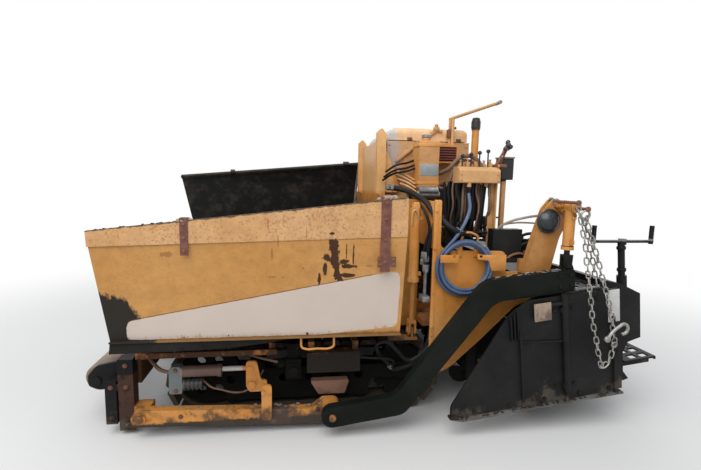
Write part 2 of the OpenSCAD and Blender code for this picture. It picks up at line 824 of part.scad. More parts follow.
module end_gates() {
  color([0.15, 0.15, 0.16]) lifted() both() {
    xz(gate_y, gate_y + 12) polygon(rounded([[-395, 40], [-405, 118, 90], [-623, 397, 900],
                                             [-830, 668, 260], [-960, 744, 120], [-1618, 744, 30],
                                             [-1618, 40]]));
    for (x = [-1560, -900]) {
      box([x, gate_y + 10, 40], [x + 12, gate_y + 34, 560]);
    }
    box([-1610, gate_y - 12, 12], [-470, gate_y + 36, 24]);
    box([-1590, gate_y, 24], [-480, gate_y + 12, 44]);
    xz(gate_y - 12, gate_y + 36) polygon([[-470, 12], [-470, 24], [-390, 52], [-385, 40]]);
    along_z(100, 760, -1205, gate_y + 30, 20);
    box([-1232, gate_y + 10, 120], [-1178, gate_y + 34, 150]);
    box([-1232, gate_y + 10, 640], [-1178, gate_y + 34, 670]);
    along_x(-1240, -1000, gate_y + 26, 700, 12);
    box([-1020, gate_y + 10, 690], [-1000, gate_y + 34, 712]);
    along_z(24, 110, -1205, gate_y + 26, 9);
  }
}

module screed_steps() {
  color([0.2, 0.2, 0.2]) lifted() {
    difference() {
      box([-1967, -1130, 160], [-1725, 1130, 172]);
      for (y = [-1080 : 90 : 1080]) {
        for (x = [-1935, -1850]) {
          box([x, y - 28, 155], [x + 60, y + 28, 177]);
        }
      }
    }
    box([-1967, -1130, 150], [-1955, 1130, 160]);
    for (y = [-1100, -400, 400, 1088]) {
      box([-1940, y, 120], [-1710, y + 12, 160]);
    }
  }
}

module crank_handles() {
  color([0.14, 0.14, 0.15]) lifted() both() {
    along_z(770, 1012, -1767, 1060, 22);
  }
  color([0.14, 0.14, 0.15]) both() {
    along_x(-1893, -1425, 1060, 1258, 11);
    for (x = [-1880, -1438]) {
      along_z(1240, 1368, x, 1060, 15);
    }
    along_z(1236, 1276, -1659, 1060, 26);
  }
}

// a loop of chain from the post's head down to the arm and up again
chain_y = 1300;
link_pitch = 46;
chain_run = [[-1121, 1524], [-1185, 1320], [-1240, 1060], [-1290, 800], [-1345, 590], [-1389, 462],
             [-1440, 500], [-1462, 640], [-1425, 810], [-1345, 1030], [-1262, 1255], [-1204, 1384]];

function run_length(i) = i == 0 ? 0 : run_length(i - 1) + norm(chain_run[i] - chain_run[i - 1]);

module along_run(s) {
  for (i = [1 : len(chain_run) - 1]) {
    if (s >= run_length(i - 1) && s < run_length(i)) {
      d = chain_run[i] - chain_run[i - 1];
      at = chain_run[i - 1] + d / norm(d) * (s - run_length(i - 1));
      translate([at[0], chain_y, at[1]]) rotate([0, -atan2(d[1], d[0]), 0]) children();
    }
  }
}

module chain_link() {
  linear_extrude(9, center = true) difference() {
    polygon([[-31, -9], [-23, -19], [23, -19], [31, -9], [31, 9], [23, 19], [-23, 19], [-31, 9]]);
    square([42, 20], center = true);
  }
}

module safety_chains() {
  links = floor(run_length(len(chain_run) - 1) / link_pitch);
  color([0.7, 0.7, 0.7]) both() {
    for (i = [0 : links - 1]) {
      along_run((i + 0.5) * link_pitch) rotate([i % 2 * 90, 0, 0]) chain_link();
    }
  }
}

module work_lamps() {
  color([0.15, 0.15, 0.15]) both() {
    intersection() {
      translate([lamp_x, 1060, lamp_z]) sphere(r = 84);
      box([lamp_x - 90, 1094, lamp_z - 90], [lamp_x + 90, 1160, lamp_z + 90]);
    }
    along_y(1082, 1100, lamp_x, lamp_z, 40);
    along_y(1090, 1100, lamp_x, lamp_z, 77);
  }
}

main_frame();
hopper_floor();
slat_conveyor();
bulkhead();
engine_block();
engine_enclosure();
hydraulic_tank();
side_plates();
operator_deck();
consoles();
grab_rails();
exhaust_stack();
hydraulic_hoses();
wash_hose();
hose_coil();
track_frames();
track_belts();
track_wheels();
push_bar();
tow_levers();
tow_linkage();
auger_hangers();
lift_posts();
safety_chains();
work_lamps();
wing_left();
wing_right();
wing_barrel_left();
wing_rod_left();
wing_barrel_right();
wing_rod_right();
flow_gate_left();
flow_gate_right();
tow_arms();
screed_body();
end_gates();
screed_steps();
crank_handles();
lift_barrels();
lift_rods();
hood();
auger_left();
auger_right();
roller_left();
roller_right();
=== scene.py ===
import bpy
import math
import random
from mathutils import Matrix, Vector


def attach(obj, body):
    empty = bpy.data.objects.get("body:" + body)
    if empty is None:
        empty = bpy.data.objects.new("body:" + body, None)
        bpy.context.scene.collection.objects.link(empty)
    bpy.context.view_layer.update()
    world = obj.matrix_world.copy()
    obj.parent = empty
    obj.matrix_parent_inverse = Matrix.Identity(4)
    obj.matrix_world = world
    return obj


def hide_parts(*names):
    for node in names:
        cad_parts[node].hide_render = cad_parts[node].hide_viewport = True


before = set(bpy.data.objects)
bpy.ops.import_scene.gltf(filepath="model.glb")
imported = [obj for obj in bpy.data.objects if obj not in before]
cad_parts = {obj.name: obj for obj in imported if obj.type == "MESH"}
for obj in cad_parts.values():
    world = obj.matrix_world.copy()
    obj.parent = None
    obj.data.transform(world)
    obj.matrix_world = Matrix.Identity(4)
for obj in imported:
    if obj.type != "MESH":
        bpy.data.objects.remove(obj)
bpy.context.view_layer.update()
random.seed(11)
print("frame loaded")

# camera at the photographer's place

camera = {
    "place": (0.612, 3.663, 1.611),
    "yaw": 8.0,      # turned towards the screed
    "pitch": 6.8,    # looking down
    "roll": 1.1,
    "focalPixels": 420,
    "sensorWidth": 36,
    "frameWidth": 701,
}


def addCamera():
    yaw, pitch, roll = (math.radians(camera[k]) for k in ("yaw", "pitch", "roll"))
    level = math.cos(pitch)
    forward = Vector((-math.sin(yaw) * level, -math.cos(yaw) * level, -math.sin(pitch)))
    right = Vector((-math.cos(yaw), math.sin(yaw), 0))
    up = right.cross(forward)
    tiltedRight = right * math.cos(roll) + up * math.sin(roll)
    tiltedUp = up * math.cos(roll) - right * math.sin(roll)
    bpy.ops.object.camera_add()
    cam = bpy.context.object
    cam.name = "photoCamera"
    cam.data.sensor_width = camera["sensorWidth"]
    cam.data.lens = camera["sensorWidth"] * camera["focalPixels"] / camera["frameWidth"]
    turn = Matrix((tiltedRight, tiltedUp, -forward)).transposed().to_4x4()
    cam.matrix_world = Matrix.Translation(camera["place"]) @ turn
    cam.data.clip_end = 200
    bpy.context.scene.camera = cam


addCamera()

# wash hose: from the gland under the console down to the coil on its hangers

washHose = {
    "diameter": 0.022,
    "length": 4.55,
    "drop": [(-0.6, 0.88, 1.612), (-0.6, 0.88, 1.58), (-0.598, 0.892, 1.546), (-0.589, 0.932, 1.505),
             (-0.566, 0.986, 1.46), (-0.532, 1.025, 1.401), (-0.49, 1.04, 1.33), (-0.44, 1.042, 1.26),
             (-0.388, 1.042, 1.2), (-0.352, 1.042, 1.15), (-0.338, 1.042, 1.108)],
    "coilCentre": (-0.53, 1.082),
    "outerRadius": 0.194,
    "innerRadius": 0.150,
    "startAngle": 7.7,
    "backLayer": 1.024,
    "frontLayer": 1.060,
    "turns": 3.65,
    "inwardTurns": 2,    # the others lie in front of them and run outwards
    # shares of a turn: where the hose starts to change its lane, and how long each change takes
    "laneFrom": 0.25,
    "laneShift": 0.55,
    "layerShift": 0.25,
    "leadIn": (0.3, 0.018),    # share of the first turn, and how far the hose goes back over it
    "pointsPerTurn": 16,
    "nozzleLength": 0.075,
    "tipRadius": 0.188,    # of the coil where the nozzle lies
}


def coilPoint(turn):
    # each turn lies one diameter inside or outside the last, first in the back layer, then in the front one
    w = washHose
    laid = math.floor(turn) + min(max((turn % 1 - w["laneFrom"]) / w["laneShift"], 0), 1)
    outwards = turn - w["inwardTurns"]
    radius = w["outerRadius"] - w["diameter"] * laid
    if outwards >= 0:
        radius = w["innerRadius"] + w["diameter"] * (laid - w["inwardTurns"])
    blend = min(max(outwards / w["layerShift"], 0), 1)
    blend = blend * blend * (3 - 2 * blend)
    share, back = w["leadIn"]
    y = w["backLayer"] + (w["frontLayer"] - w["backLayer"]) * blend + back * max(1 - turn / share, 0)
    angle = math.radians(w["startAngle"]) - turn * 2 * math.pi
    cx, cz = w["coilCentre"]
    return Vector((cx + radius * math.cos(angle), y, cz + radius * math.sin(angle)))


def hoseRoute():
    count = round(washHose["turns"] * washHose["pointsPerTurn"])
    coil = [coilPoint(washHose["turns"] * i / count) for i in range(1, count + 1)]
    return [Vector(p) for p in washHose["drop"]] + coil


def deselect():
    bpy.ops.object.select_all(action="DESELECT")


def pick(obj):
    deselect()
    obj.select_set(True)
    bpy.context.view_layer.objects.active = obj
    return obj


def openCurve(route, radius, sides):
    deselect()
    bpy.ops.curve.primitive_bezier_curve_add()
    obj = bpy.context.object
    spline = obj.data.splines[0]
    spline.bezier_points.add(len(route) - 2)
    for point, place in zip(spline.bezier_points, route):
        point.co = place
        point.handle_left_type = point.handle_right_type = "AUTO"
    obj.data.dimensions = "3D"
    obj.data.resolution_u = 4
    obj.data.bevel_depth = radius
    obj.data.bevel_resolution = max(1, sides // 2 - 2)
    obj.data.use_fill_caps = True
    return obj


def layWashHose():
    route = hoseRoute()
    obj = openCurve(route, washHose["diameter"] / 2, 12)
    obj.name = "washHose"
    return obj, route


hoseCurve, washRoute = layWashHose()
print("wash hose laid, %.2f m" % washHose["length"])

light = {"skyStrength": 0.62, "lampPower": 620, "fillPower": 170, "fadeFrom": 2.2, "fadeTo": 6.5}


def seenDirectly(n):
    # 1 on rays from the camera, a mirror or glass
    ray = n.add("ShaderNodeLightPath").outputs
    return n.most(ray["Is Camera Ray"], n.most(ray["Is Glossy Ray"], ray["Is Transmission Ray"]))


def addFloor():
    bpy.ops.mesh.primitive_plane_add(size=120, location=(0, 0, 0))
    floor = bpy.context.object
    floor.name = "studioFloor"
    mat = bpy.data.materials.new("studioFloor")
    mat.use_nodes = True
    shader = mat.node_tree.nodes["Principled BSDF"]
    shader.inputs["Base Color"].default_value = (0.62, 0.62, 0.61, 1)
    shader.inputs["Roughness"].default_value = 0.9
    # away from the paver the floor fades into the white studio
    n = Nodes(mat.node_tree)
    away = n.add("ShaderNodeVectorMath", operation="LENGTH")
    n.link(n.add("ShaderNodeTexCoord").outputs["Object"], away.inputs[0])
    fade = n.ramp(away.outputs["Value"], light["fadeFrom"], light["fadeTo"])
    blend = n.add("ShaderNodeMixShader")
    n.link(n.times(fade, seenDirectly(n)), blend.inputs["Fac"])
    n.link(shader.outputs[0], blend.inputs[1])
    n.link(n.add("ShaderNodeEmission").outputs[0], blend.inputs[2])
    n.link(blend.outputs[0], mat.node_tree.nodes["Material Output"].inputs["Surface"])
    floor.data.materials.append(mat)


def addSky():
    world = bpy.data.worlds.new("softStudio")
    bpy.context.scene.world = world
    world.use_nodes = True
    tree = world.node_tree
    sky = tree.nodes["Background"]
    sky.inputs["Color"].default_value = (0.93, 0.95, 1.0, 1)
    sky.inputs["Strength"].default_value = light["skyStrength"]
    # the camera, the metal and the glass see a plain white studio
    n = Nodes(tree)
    choose = n.add("ShaderNodeMixShader")
    n.link(seenDirectly(n), choose.inputs["Fac"])
    n.link(sky.outputs[0], choose.inputs[1])
    white = n.add("ShaderNodeBackground")
    white.inputs["Color"].default_value = (1, 1, 1, 1)
    n.link(white.outputs[0], choose.inputs[2])
    n.link(choose.outputs[0], tree.nodes["World Output"].inputs["Surface"])
    bpy.context.scene.view_settings.view_transform = "Standard"


def addLamps():
    for name, place, size, power in (
        ("skyPanel", (2.5, 4.5, 6.5), 7, light["lampPower"]),
        ("backPanel", (-4.5, -5.0, 5.0), 6, light["fillPower"]),
    ):
        bpy.ops.object.light_add(type="AREA", location=place)
        lamp = bpy.context.object
        lamp.name = name
        lamp.data.size = size
        lamp.data.energy = power
        lamp.rotation_mode = "QUATERNION"
        lamp.rotation_quaternion = (Vector((0, 0, 0.8)) - Vector(place)).to_track_quat("-Z", "Y")


# shared effects: node groups that put out only colours, masks and heights


def newGroup(name, inputs, outputs):
    # a default value's length tells its kind: 3 is a vector, 4 a colour, none a plain number
    group = bpy.data.node_groups.new(name, "ShaderNodeTree")
    for label, value in inputs.items():
        kind = {3: "Vector", 4: "Color"}[len(value)] if isinstance(value, tuple) else "Float"
        socket = group.interface.new_socket(label, in_out="INPUT", socket_type="NodeSocket" + kind)
        socket.default_value = value
    for label in outputs:
        kind = "Color" if label == "Color" else "Float"
        group.interface.new_socket(label, in_out="OUTPUT", socket_type="NodeSocket" + kind)
    return group, group.nodes.new("NodeGroupInput"), group.nodes.new("NodeGroupOutput")


class Nodes:
    def __init__(self, tree):
        self.tree = tree

    def add(self, kind, **settings):
        node = self.tree.nodes.new(kind)
        for key, value in settings.items():
            setattr(node, key, value)
        return node

    def link(self, source, target):
        self.tree.links.new(source, target)

    def put(self, target, value):
        if hasattr(value, "is_output"):
            self.link(value, target)
        else:
            target.default_value = value

    def math(self, how, a, b=0.0, clamp=False, c=None):
        node = self.add("ShaderNodeMath", operation=how, use_clamp=clamp)
        self.put(node.inputs[0], a)
        self.put(node.inputs[1], b)
        if c is not None:
            self.put(node.inputs[2], c)
        return node.outputs[0]

    def plus(self, a, b, clamp=False):
        return self.math("ADD", a, b, clamp)

    def minus(self, a, b):
        return self.math("SUBTRACT", a, b)

    def times(self, a, b):
        return self.math("MULTIPLY", a, b)

    def most(self, a, b):
        return self.math("MAXIMUM", a, b)

    def noise(self, vector, scale, detail, rough):
        node = self.add("ShaderNodeTexNoise")
        self.link(vector, node.inputs["Vector"])
        self.put(node.inputs["Scale"], scale)
        node.inputs["Detail"].default_value = detail
        node.inputs["Roughness"].default_value = rough
        return node.outputs["Fac"]

    def ramp(self, value, low, high):
        node = self.add("ShaderNodeMapRange", interpolation_type="SMOOTHSTEP")
        self.link(value, node.inputs["Value"])
        self.put(node.inputs["From Min"], low)
        self.put(node.inputs["From Max"], high)
        return node.outputs["Result"]

    def mix(self, factor, a, b, how="MIX"):
        node = self.add("ShaderNodeMix", data_type="RGBA", blend_type=how)
        self.put(node.inputs["Factor"], factor)
        self.put(node.inputs["A"], a)
        self.put(node.inputs["B"], b)
        return node.outputs["Result"]

    def scaled(self, vector, sizes):
        node = self.add("ShaderNodeMapping")
        self.link(vector, node.inputs["Vector"])
        node.inputs["Scale"].default_value = sizes
        return node.outputs["Vector"]

    def parts(self, vector):
        node = self.add("ShaderNodeSeparateXYZ")
        self.link(vector, node.inputs[0])
        return node.outputs

    def group(self, tree, **values):
        node = self.add("ShaderNodeGroup", node_tree=tree)
        for key, value in values.items():
            self.put(node.inputs[key], value)
        return node.outputs


def makeWeatherGroup():
    inputs = {
        "Vector": (0, 0, 0), "Paint": (0.6, 0.25, 0.05, 1), "Faded": (0.7, 0.4, 0.15, 1),
        "Dirt": (0.05, 0.04, 0.03, 1), "Rust": (0.12, 0.04, 0.015, 1), "Fading": 0.5, "Dirtiness": 0.3,
        "Rusting": 0.3, "Streaks": 0.3, "Splash": 0.4,
    }
    group, entry, leave = newGroup("weather", inputs, ("Color", "Roughness", "Height"))
    n = Nodes(group)
    vector = entry.outputs["Vector"]
    cloud = n.ramp(n.noise(vector, 1.7, 5, 0.6), 0.35, 0.68)
    fine = n.noise(vector, 14, 6, 0.65)
    fading = n.times(cloud, entry.outputs["Fading"])
    tone = n.mix(fading, entry.outputs["Paint"], entry.outputs["Faded"])
    mottled = n.mix(n.ramp(fine, 0.3, 0.75), (0.86, 0.84, 0.82, 1), (1.06, 1.05, 1.03, 1))
    tone = n.mix(1.0, tone, mottled, "MULTIPLY")
    # streaks run down the plates
    runs = n.noise(n.scaled(vector, (22, 22, 1.3)), 1.0, 4, 0.6)
    limit = n.minus(0.78, n.times(entry.outputs["Streaks"], 0.3))
    streak = n.ramp(runs, limit, n.plus(limit, 0.16))
    tone = n.mix(n.times(streak, 0.55), tone, entry.outputs["Dirt"])
    # rust spots where the paint has chipped
    chips = n.plus(n.noise(vector, 38, 8, 0.7), n.times(cloud, 0.06))
    chipLimit = n.minus(0.80, n.times(entry.outputs["Rusting"], 0.28))
    chip = n.ramp(chips, chipLimit, n.plus(chipLimit, 0.035))
    tone = n.mix(chip, tone, entry.outputs["Rust"])
    # dried asphalt and mud, thicker near the ground
    height = n.parts(vector)["Z"]
    splash = entry.outputs["Splash"]
    low = n.ramp(height, n.plus(splash, 0.45), n.minus(splash, 0.3))
    blotch = n.noise(vector, 5.5, 7, 0.68)
    dirtiness = n.times(entry.outputs["Dirtiness"], 0.38)
    dirtLimit = n.minus(0.92, n.plus(n.times(low, 0.45), dirtiness))
    dirt = n.ramp(blotch, dirtLimit, n.plus(dirtLimit, 0.14))
    tone = n.mix(n.times(dirt, 0.85), tone, entry.outputs["Dirt"])
    dull = n.plus(n.times(dirt, 0.3), n.times(chip, 0.35))
    n.link(tone, leave.inputs["Color"])
    n.link(n.plus(dull, n.times(fine, 0.2)), leave.inputs["Roughness"])
    relief = n.minus(n.times(dirt, 0.6), n.times(chip, 0.4))
    n.link(n.plus(relief, n.times(fine, 0.25)), leave.inputs["Height"])
    return group


def makeZoneGroup():
    # 1 inside a box, with a soft or ragged border
    inputs = {"Vector": (0, 0, 0), "Low": (0, 0, 0), "High": (1, 1, 1), "Soft": 0.004, "Ragged": 0.0}
    group, entry, leave = newGroup("zone", inputs, ("Mask",))
    n = Nodes(group)
    place = n.parts(entry.outputs["Vector"])
    low = n.parts(entry.outputs["Low"])
    high = n.parts(entry.outputs["High"])
    wander = n.minus(n.noise(entry.outputs["Vector"], 16, 5, 0.7), 0.5)
    wander = n.times(wander, entry.outputs["Ragged"])
    mask = 1.0
    for axis in "XYZ":
        spot = n.plus(place[axis], wander)
        for inside in (n.minus(spot, low[axis]), n.minus(high[axis], spot)):
            step = n.plus(n.math("DIVIDE", inside, entry.outputs["Soft"]), 0.5, True)
            mask = n.times(step, mask)
    n.link(mask, leave.inputs["Mask"])
    return group


def makeBlobGroup():
    # how deep a point lies in a stretched spot: 1 in its middle, 0 at its rim, less outside
    inputs = {"Vector": (0, 0, 0), "Centre": (0, 0, 0), "Size": (1, 1, 1)}
    group, entry, leave = newGroup("blob", inputs, ("Depth",))
    n = Nodes(group)
    away = n.add("ShaderNodeVectorMath", operation="SUBTRACT")
    n.link(entry.outputs["Vector"], away.inputs[0])
    n.link(entry.outputs["Centre"], away.inputs[1])
    share = n.add("ShaderNodeVectorMath", operation="DIVIDE")
    n.link(away.outputs[0], share.inputs[0])
    n.link(entry.outputs["Size"], share.inputs[1])
    size = n.add("ShaderNodeVectorMath", operation="LENGTH")
    n.link(share.outputs[0], size.inputs[0])
    n.link(n.minus(1.0, size.outputs["Value"]), leave.inputs["Depth"])
    return group


addFloor()
addSky()
addLamps()
print("camera, floor and lights set")
weather = makeWeatherGroup()
zone = makeZoneGroup()
blob = makeBlobGroup()
print("shader groups built")

finishKeys = ("paint", "faded", "dirt", "rust", "fading", "dirtiness", "rusting", "streaks",
              "splash", "rough",
              "gloss")
finishes = {
    # four colours, then how much of each effect, roughness and gloss, which is 0.3 where none is given
    "orangePaint": ((0.52, 0.205, 0.036), (0.6, 0.3, 0.095), (0.045, 0.032, 0.024), (0.11, 0.04, 0.018), 0.8,
                    0.32, 0.42, 0.45, 0.25, 0.45),
    "grimyOrange": ((0.42, 0.155, 0.03), (0.24, 0.1, 0.04), (0.02, 0.015, 0.012), (0.09, 0.035, 0.018), 0.9,
                    0.95, 0.5, 0.5, 0.4, 0.6),
    "paleOrange": ((0.5, 0.265, 0.1), (0.58, 0.35, 0.17), (0.09, 0.05, 0.03), (0.16, 0.06, 0.03), 0.9, 0.3,
                   0.45, 0.4, 0.2, 0.5),
    "hoodPaint": ((0.7, 0.4, 0.17), (0.76, 0.52, 0.32), (0.1, 0.06, 0.04), (0.22, 0.08, 0.03), 0.9, 0.2, 0.42,
                  0.5, 0.2, 0.48),
    "blackPaint": ((0.009, 0.009, 0.01), (0.019, 0.019, 0.018), (0.075, 0.063, 0.05), (0.06, 0.03, 0.02), 0.9,
                   0.3, 0.3, 0.35, 0.1, 0.5, 0.12),
    "armPaint": ((0.007, 0.009, 0.007), (0.012, 0.014, 0.012), (0.06, 0.05, 0.04), (0.05, 0.03, 0.02), 0.9,
                 0.12, 0.2, 0.1, 0.0, 0.42, 0.07),
    "asphaltSteel": ((0.01, 0.0095, 0.009), (0.026, 0.023, 0.02), (0.006, 0.006, 0.005), (0.12, 0.07, 0.045),
                     0.8, 0.6, 0.35, 0.5, 0.5, 0.62, 0.12),
    "rustySteel": ((0.15, 0.065, 0.038), (0.21, 0.1, 0.06), (0.03, 0.022, 0.018), (0.07, 0.025, 0.012), 0.9,
                   0.5, 0.5, 0.4, 0.2, 0.7),
    "hoseRubber": ((0.01, 0.01, 0.011), (0.026, 0.025, 0.024), (0.12, 0.09, 0.065), (0.03, 0.03, 0.03), 0.7,
                   0.4, 0.1, 0.2, 0.2, 0.45, 0.12),
    "brownHose": ((0.13, 0.075, 0.048), (0.24, 0.155, 0.11), (0.03, 0.022, 0.018), (0.06, 0.03, 0.02), 0.8,
                  0.5, 0.2, 0.3, 0.2, 0.6),
    "blueHose": ((0.055, 0.092, 0.175), (0.13, 0.18, 0.27), (0.055, 0.045, 0.045), (0.04, 0.04, 0.05), 0.9,
                 0.35, 0.15, 0.2, 0.2, 0.4),
    "trackSteel": ((0.01, 0.0095, 0.009), (0.024, 0.021, 0.018), (0.07, 0.055, 0.042), (0.05, 0.035, 0.025),
                   0.8, 0.6, 0.3, 0.2, 0.4, 0.75, 0.12),
    "blankPlate": ((0.52, 0.52, 0.51), (0.42, 0.42, 0.42), (0.16, 0.14, 0.12), (0.2, 0.14, 0.1), 0.7, 0.3,
                   0.2, 0.4, 0.1, 0.5),
    "tankBlank": ((0.2, 0.235, 0.25), (0.3, 0.32, 0.32), (0.07, 0.05, 0.035), (0.16, 0.08, 0.04), 0.9, 0.5,
                  0.35, 0.5, 0.1, 0.55),
    "tanPlate": ((0.36, 0.28, 0.19), (0.28, 0.2, 0.16), (0.12, 0.09, 0.07), (0.2, 0.1, 0.07), 1.0, 0.9, 0.7,
                 0.9, 0.6, 0.6),
    "crust": ((0.22, 0.16, 0.125), (0.44, 0.36, 0.29), (0.03, 0.025, 0.02), (0.1, 0.05, 0.03), 0.9, 0.5, 0.5,
              0.1, 0.1, 0.85),
    "asphaltCrumb": ((0.018, 0.017, 0.016), (0.06, 0.055, 0.05), (0.01, 0.01, 0.01), (0.05, 0.04, 0.035), 0.7,
                     0.4, 0.3, 0.1, 0.1, 0.8, 0.12),
    "dryMud": ((0.19, 0.15, 0.115), (0.33, 0.27, 0.22), (0.09, 0.07, 0.05), (0.12, 0.08, 0.06), 0.9, 0.3, 0.3,
               0.1, 0.1, 0.9),
}

# parts of a node in another colour: low and high corner, soft border, ragged border, paint, faded
zones = {
    "hood": [
        ((-0.19, -0.5, 1.9), (-0.1, 0.5, 2.2), 0.03, 0.05, (0.5, 0.42, 0.38), (0.58, 0.54, 0.52)),
        ((-0.4, -0.35, 2.03), (-0.15, 0.35, 2.2), 0.06, 0.1, (0.62, 0.42, 0.27), (0.66, 0.5, 0.38)),
    ],
    "hydraulic_tank": [
        ((-0.45, 0.69, 1.5), (-0.28, 0.72, 1.95), 0.01, 0, (0.44, 0.2, 0.06), (0.5, 0.27, 0.12)),
        ((-0.626, 0.54, 1.8), (-0.477, 0.57, 1.912), 0.003, 0.004, (0.135, 0.03, 0.022), (0.2, 0.055, 0.04)),
        ((-0.626, 0.54, 1.8), (-0.477, 0.5475, 1.912), 0.002, 0, (0.03, 0.008, 0.006), (0.04, 0.012, 0.01)),
        ((-0.47, 0.66, 1.53), (-0.27, 0.75, 1.577), 0.002, 0, (0.2, 0.2, 0.2), (0.33, 0.31, 0.3)),
        ((-0.45, 0.53, 1.5), (-0.28, 0.71, 1.6), 0.02, 0.06, (0.2, 0.09, 0.03), (0.13, 0.06, 0.03)),
    ],
    "engine_enclosure": [
        # the lower enclosure side painted near black: painted shade in the recess under the console
        ((-0.8, 0.36, 1.1), (-0.29, 0.42, 1.63), 0.03, 0.08, (0.018, 0.013, 0.01), (0.04, 0.026, 0.018)),
        ((-0.46, 0.36, 1.6), (-0.12, 0.42, 1.86), 0.05, 0.25, (0.5, 0.235, 0.08), (0.36, 0.15, 0.06)),
        ((-0.215, 0.3, 1.7), (-0.1, 0.42, 1.98), 0.05, 0.08, (0.4, 0.34, 0.31), (0.48, 0.43, 0.4)),
        ((-0.3, 0.3, 1.6), (-0.1, 0.42, 1.74), 0.05, 0.15, (0.13, 0.05, 0.025), (0.28, 0.12, 0.06)),
    ],
    "consoles": [
        ((-1.0, 0.6, 1.66), (-0.9, 0.75, 1.84), 0.002, 0, (0.014, 0.014, 0.015), (0.03, 0.03, 0.03)),
        ((-0.78, 0.82, 1.753), (-0.52, 0.86, 1.9), 0.002, 0, (0.015, 0.015, 0.015), (0.04, 0.04, 0.04)),
    ],
    "exhaust_stack": [
        ((-0.9, 0.3, 2.058), (-0.7, 0.5, 2.2), 0.003, 0, (0.025, 0.022, 0.02), (0.06, 0.05, 0.045)),
    ],
    "main_frame": [
        ((0.14, 0.865, 0.34), (0.52, 0.97, 0.487), 0.002, 0, (0.006, 0.006, 0.007), (0.012, 0.012, 0.012)),
    ],
    "tow_linkage": [
        ((1.3, 0.91, 0.25), (1.39, 0.99, 0.445), 0.002, 0, (0.115, 0.145, 0.15), (0.2, 0.235, 0.235)),
        ((1.058, 0.91, 0.35), (1.306, 1.01, 0.445), 0.002, 0, (0.115, 0.07, 0.052), (0.18, 0.125, 0.1)),
        ((0.93, 0.92, 0.38), (1.058, 1.0, 0.43), 0.002, 0, (0.46, 0.45, 0.44), (0.3, 0.28, 0.27)),
        ((1.18, 0.9, 0.26), (1.3, 1.0, 0.348), 0.002, 0, (0.022, 0.023, 0.025), (0.09, 0.09, 0.09)),
        ((0.2, 0.89, 0.18), (0.5, 0.96, 0.3), 0.002, 0, (0.17, 0.085, 0.055), (0.26, 0.15, 0.11)),
    ],
    "push_bar": [
        ((1.59, 0.89, 0.02), (1.695, 0.99, 0.4), 0.01, 0.05, (0.055, 0.028, 0.02), (0.1, 0.05, 0.036)),
    ],
    "tow_levers": [
        ((0.25, 0.9, -0.1), (1.8, 1.1, 0.108), 0.012, 0.05, (0.045, 0.028, 0.015), (0.02, 0.015, 0.012)),
        ((0.62, 0.9, -0.1), (0.8, 1.1, 0.2), 0.03, 0.12, (0.14, 0.08, 0.06), (0.07, 0.05, 0.04)),
    ],
    "wing_rod_left": [
        ((-0.4, 0.8, 0.3), (0, 1.0, 0.955), 0.01, 0.01, (0.48, 0.19, 0.04), (0.36, 0.15, 0.04)),
        ((-0.4, 0.8, 0.955), (0, 1.0, 1.2), 0.01, 0.01, (0.21, 0.13, 0.1), (0.36, 0.27, 0.23)),
    ],
    "bulkhead": [
        ((-0.16, -0.5, 1.56), (0.0, 0.5, 2.1), 0.03, 0.05, (0.6, 0.32, 0.115), (0.68, 0.42, 0.2)),
        ((-0.12, -0.9, 0.5), (-0.05, 0.9, 1.5), 0.1, 0.2, (0.2, 0.09, 0.035), (0.1, 0.06, 0.04)),
    ],
    "lift_posts": [
        # the lower post plate painted darker orange: painted shade on the posts' shaded side
        ((-1.4, 0.9, 1.0), (-0.8, 1.2, 1.47), 0.05, 0.1, (0.36, 0.155, 0.035), (0.42, 0.21, 0.07)),
        ((-1.3, 1.0, 1.5), (-1.1, 1.12, 1.6), 0.012, 0.04, (0.2, 0.13, 0.09), (0.32, 0.24, 0.18)),
    ],
    "grab_rails": [
        ((-1.01, 0.4, 2.24), (-0.95, 0.53, 2.3), 0.01, 0, (0.25, 0.2, 0.15), (0.3, 0.25, 0.2)),
    ],
    "end_gates": [
        # the bottom strip of the gates painted grey: a painted highlight along the skid's edge
        ((-1.64, 1.19, 0.0), (-0.37, 1.26, 0.03), 0.004, 0.01, (0.1, 0.1, 0.105), (0.17, 0.165, 0.16)),
    ],
    "crank_handles": [
        ((-1.9, 1.0, 1.262), (-1.4, 1.1, 1.275), 0.004, 0.02, (0.16, 0.16, 0.16), (0.22, 0.22, 0.22)),
    ],
}


def asColor(rgb):
    return (*rgb, 1.0)


screedLevel = {"tilt": 6.8, "pin": (0.355, 0, 0.15)}
tilting = Matrix.Rotation(math.radians(screedLevel["tilt"]), 4, "Y")
pinPlace = Matrix.Translation(screedLevel["pin"])
toStored = pinPlace @ tilting @ pinPlace.inverted()


def levelled(n, vector):
    # reads the lifted screed as if it lay level
    node = n.add("ShaderNodeMapping")
    n.link(vector, node.inputs["Vector"])
    back = toStored.inverted()
    node.inputs["Rotation"].default_value = back.to_euler()
    node.inputs["Location"].default_value = back.to_translation()
    return node.outputs["Vector"]


def newMaterial(name):
    mat = bpy.data.materials.new(name)
    mat.use_nodes = True
    n = Nodes(mat.node_tree)
    shader = mat.node_tree.nodes["Principled BSDF"]
    vector = n.add("ShaderNodeTexCoord").outputs["Object"]
    return mat, n, shader, vector


def addRelief(n, shader, height, strength, distance=0.002):
    relief = n.add("ShaderNodeBump")
    relief.inputs["Strength"].default_value = strength
    relief.inputs["Distance"].default_value = distance
    n.link(height, relief.inputs["Height"])
    n.link(relief.outputs["Normal"], shader.inputs["Normal"])


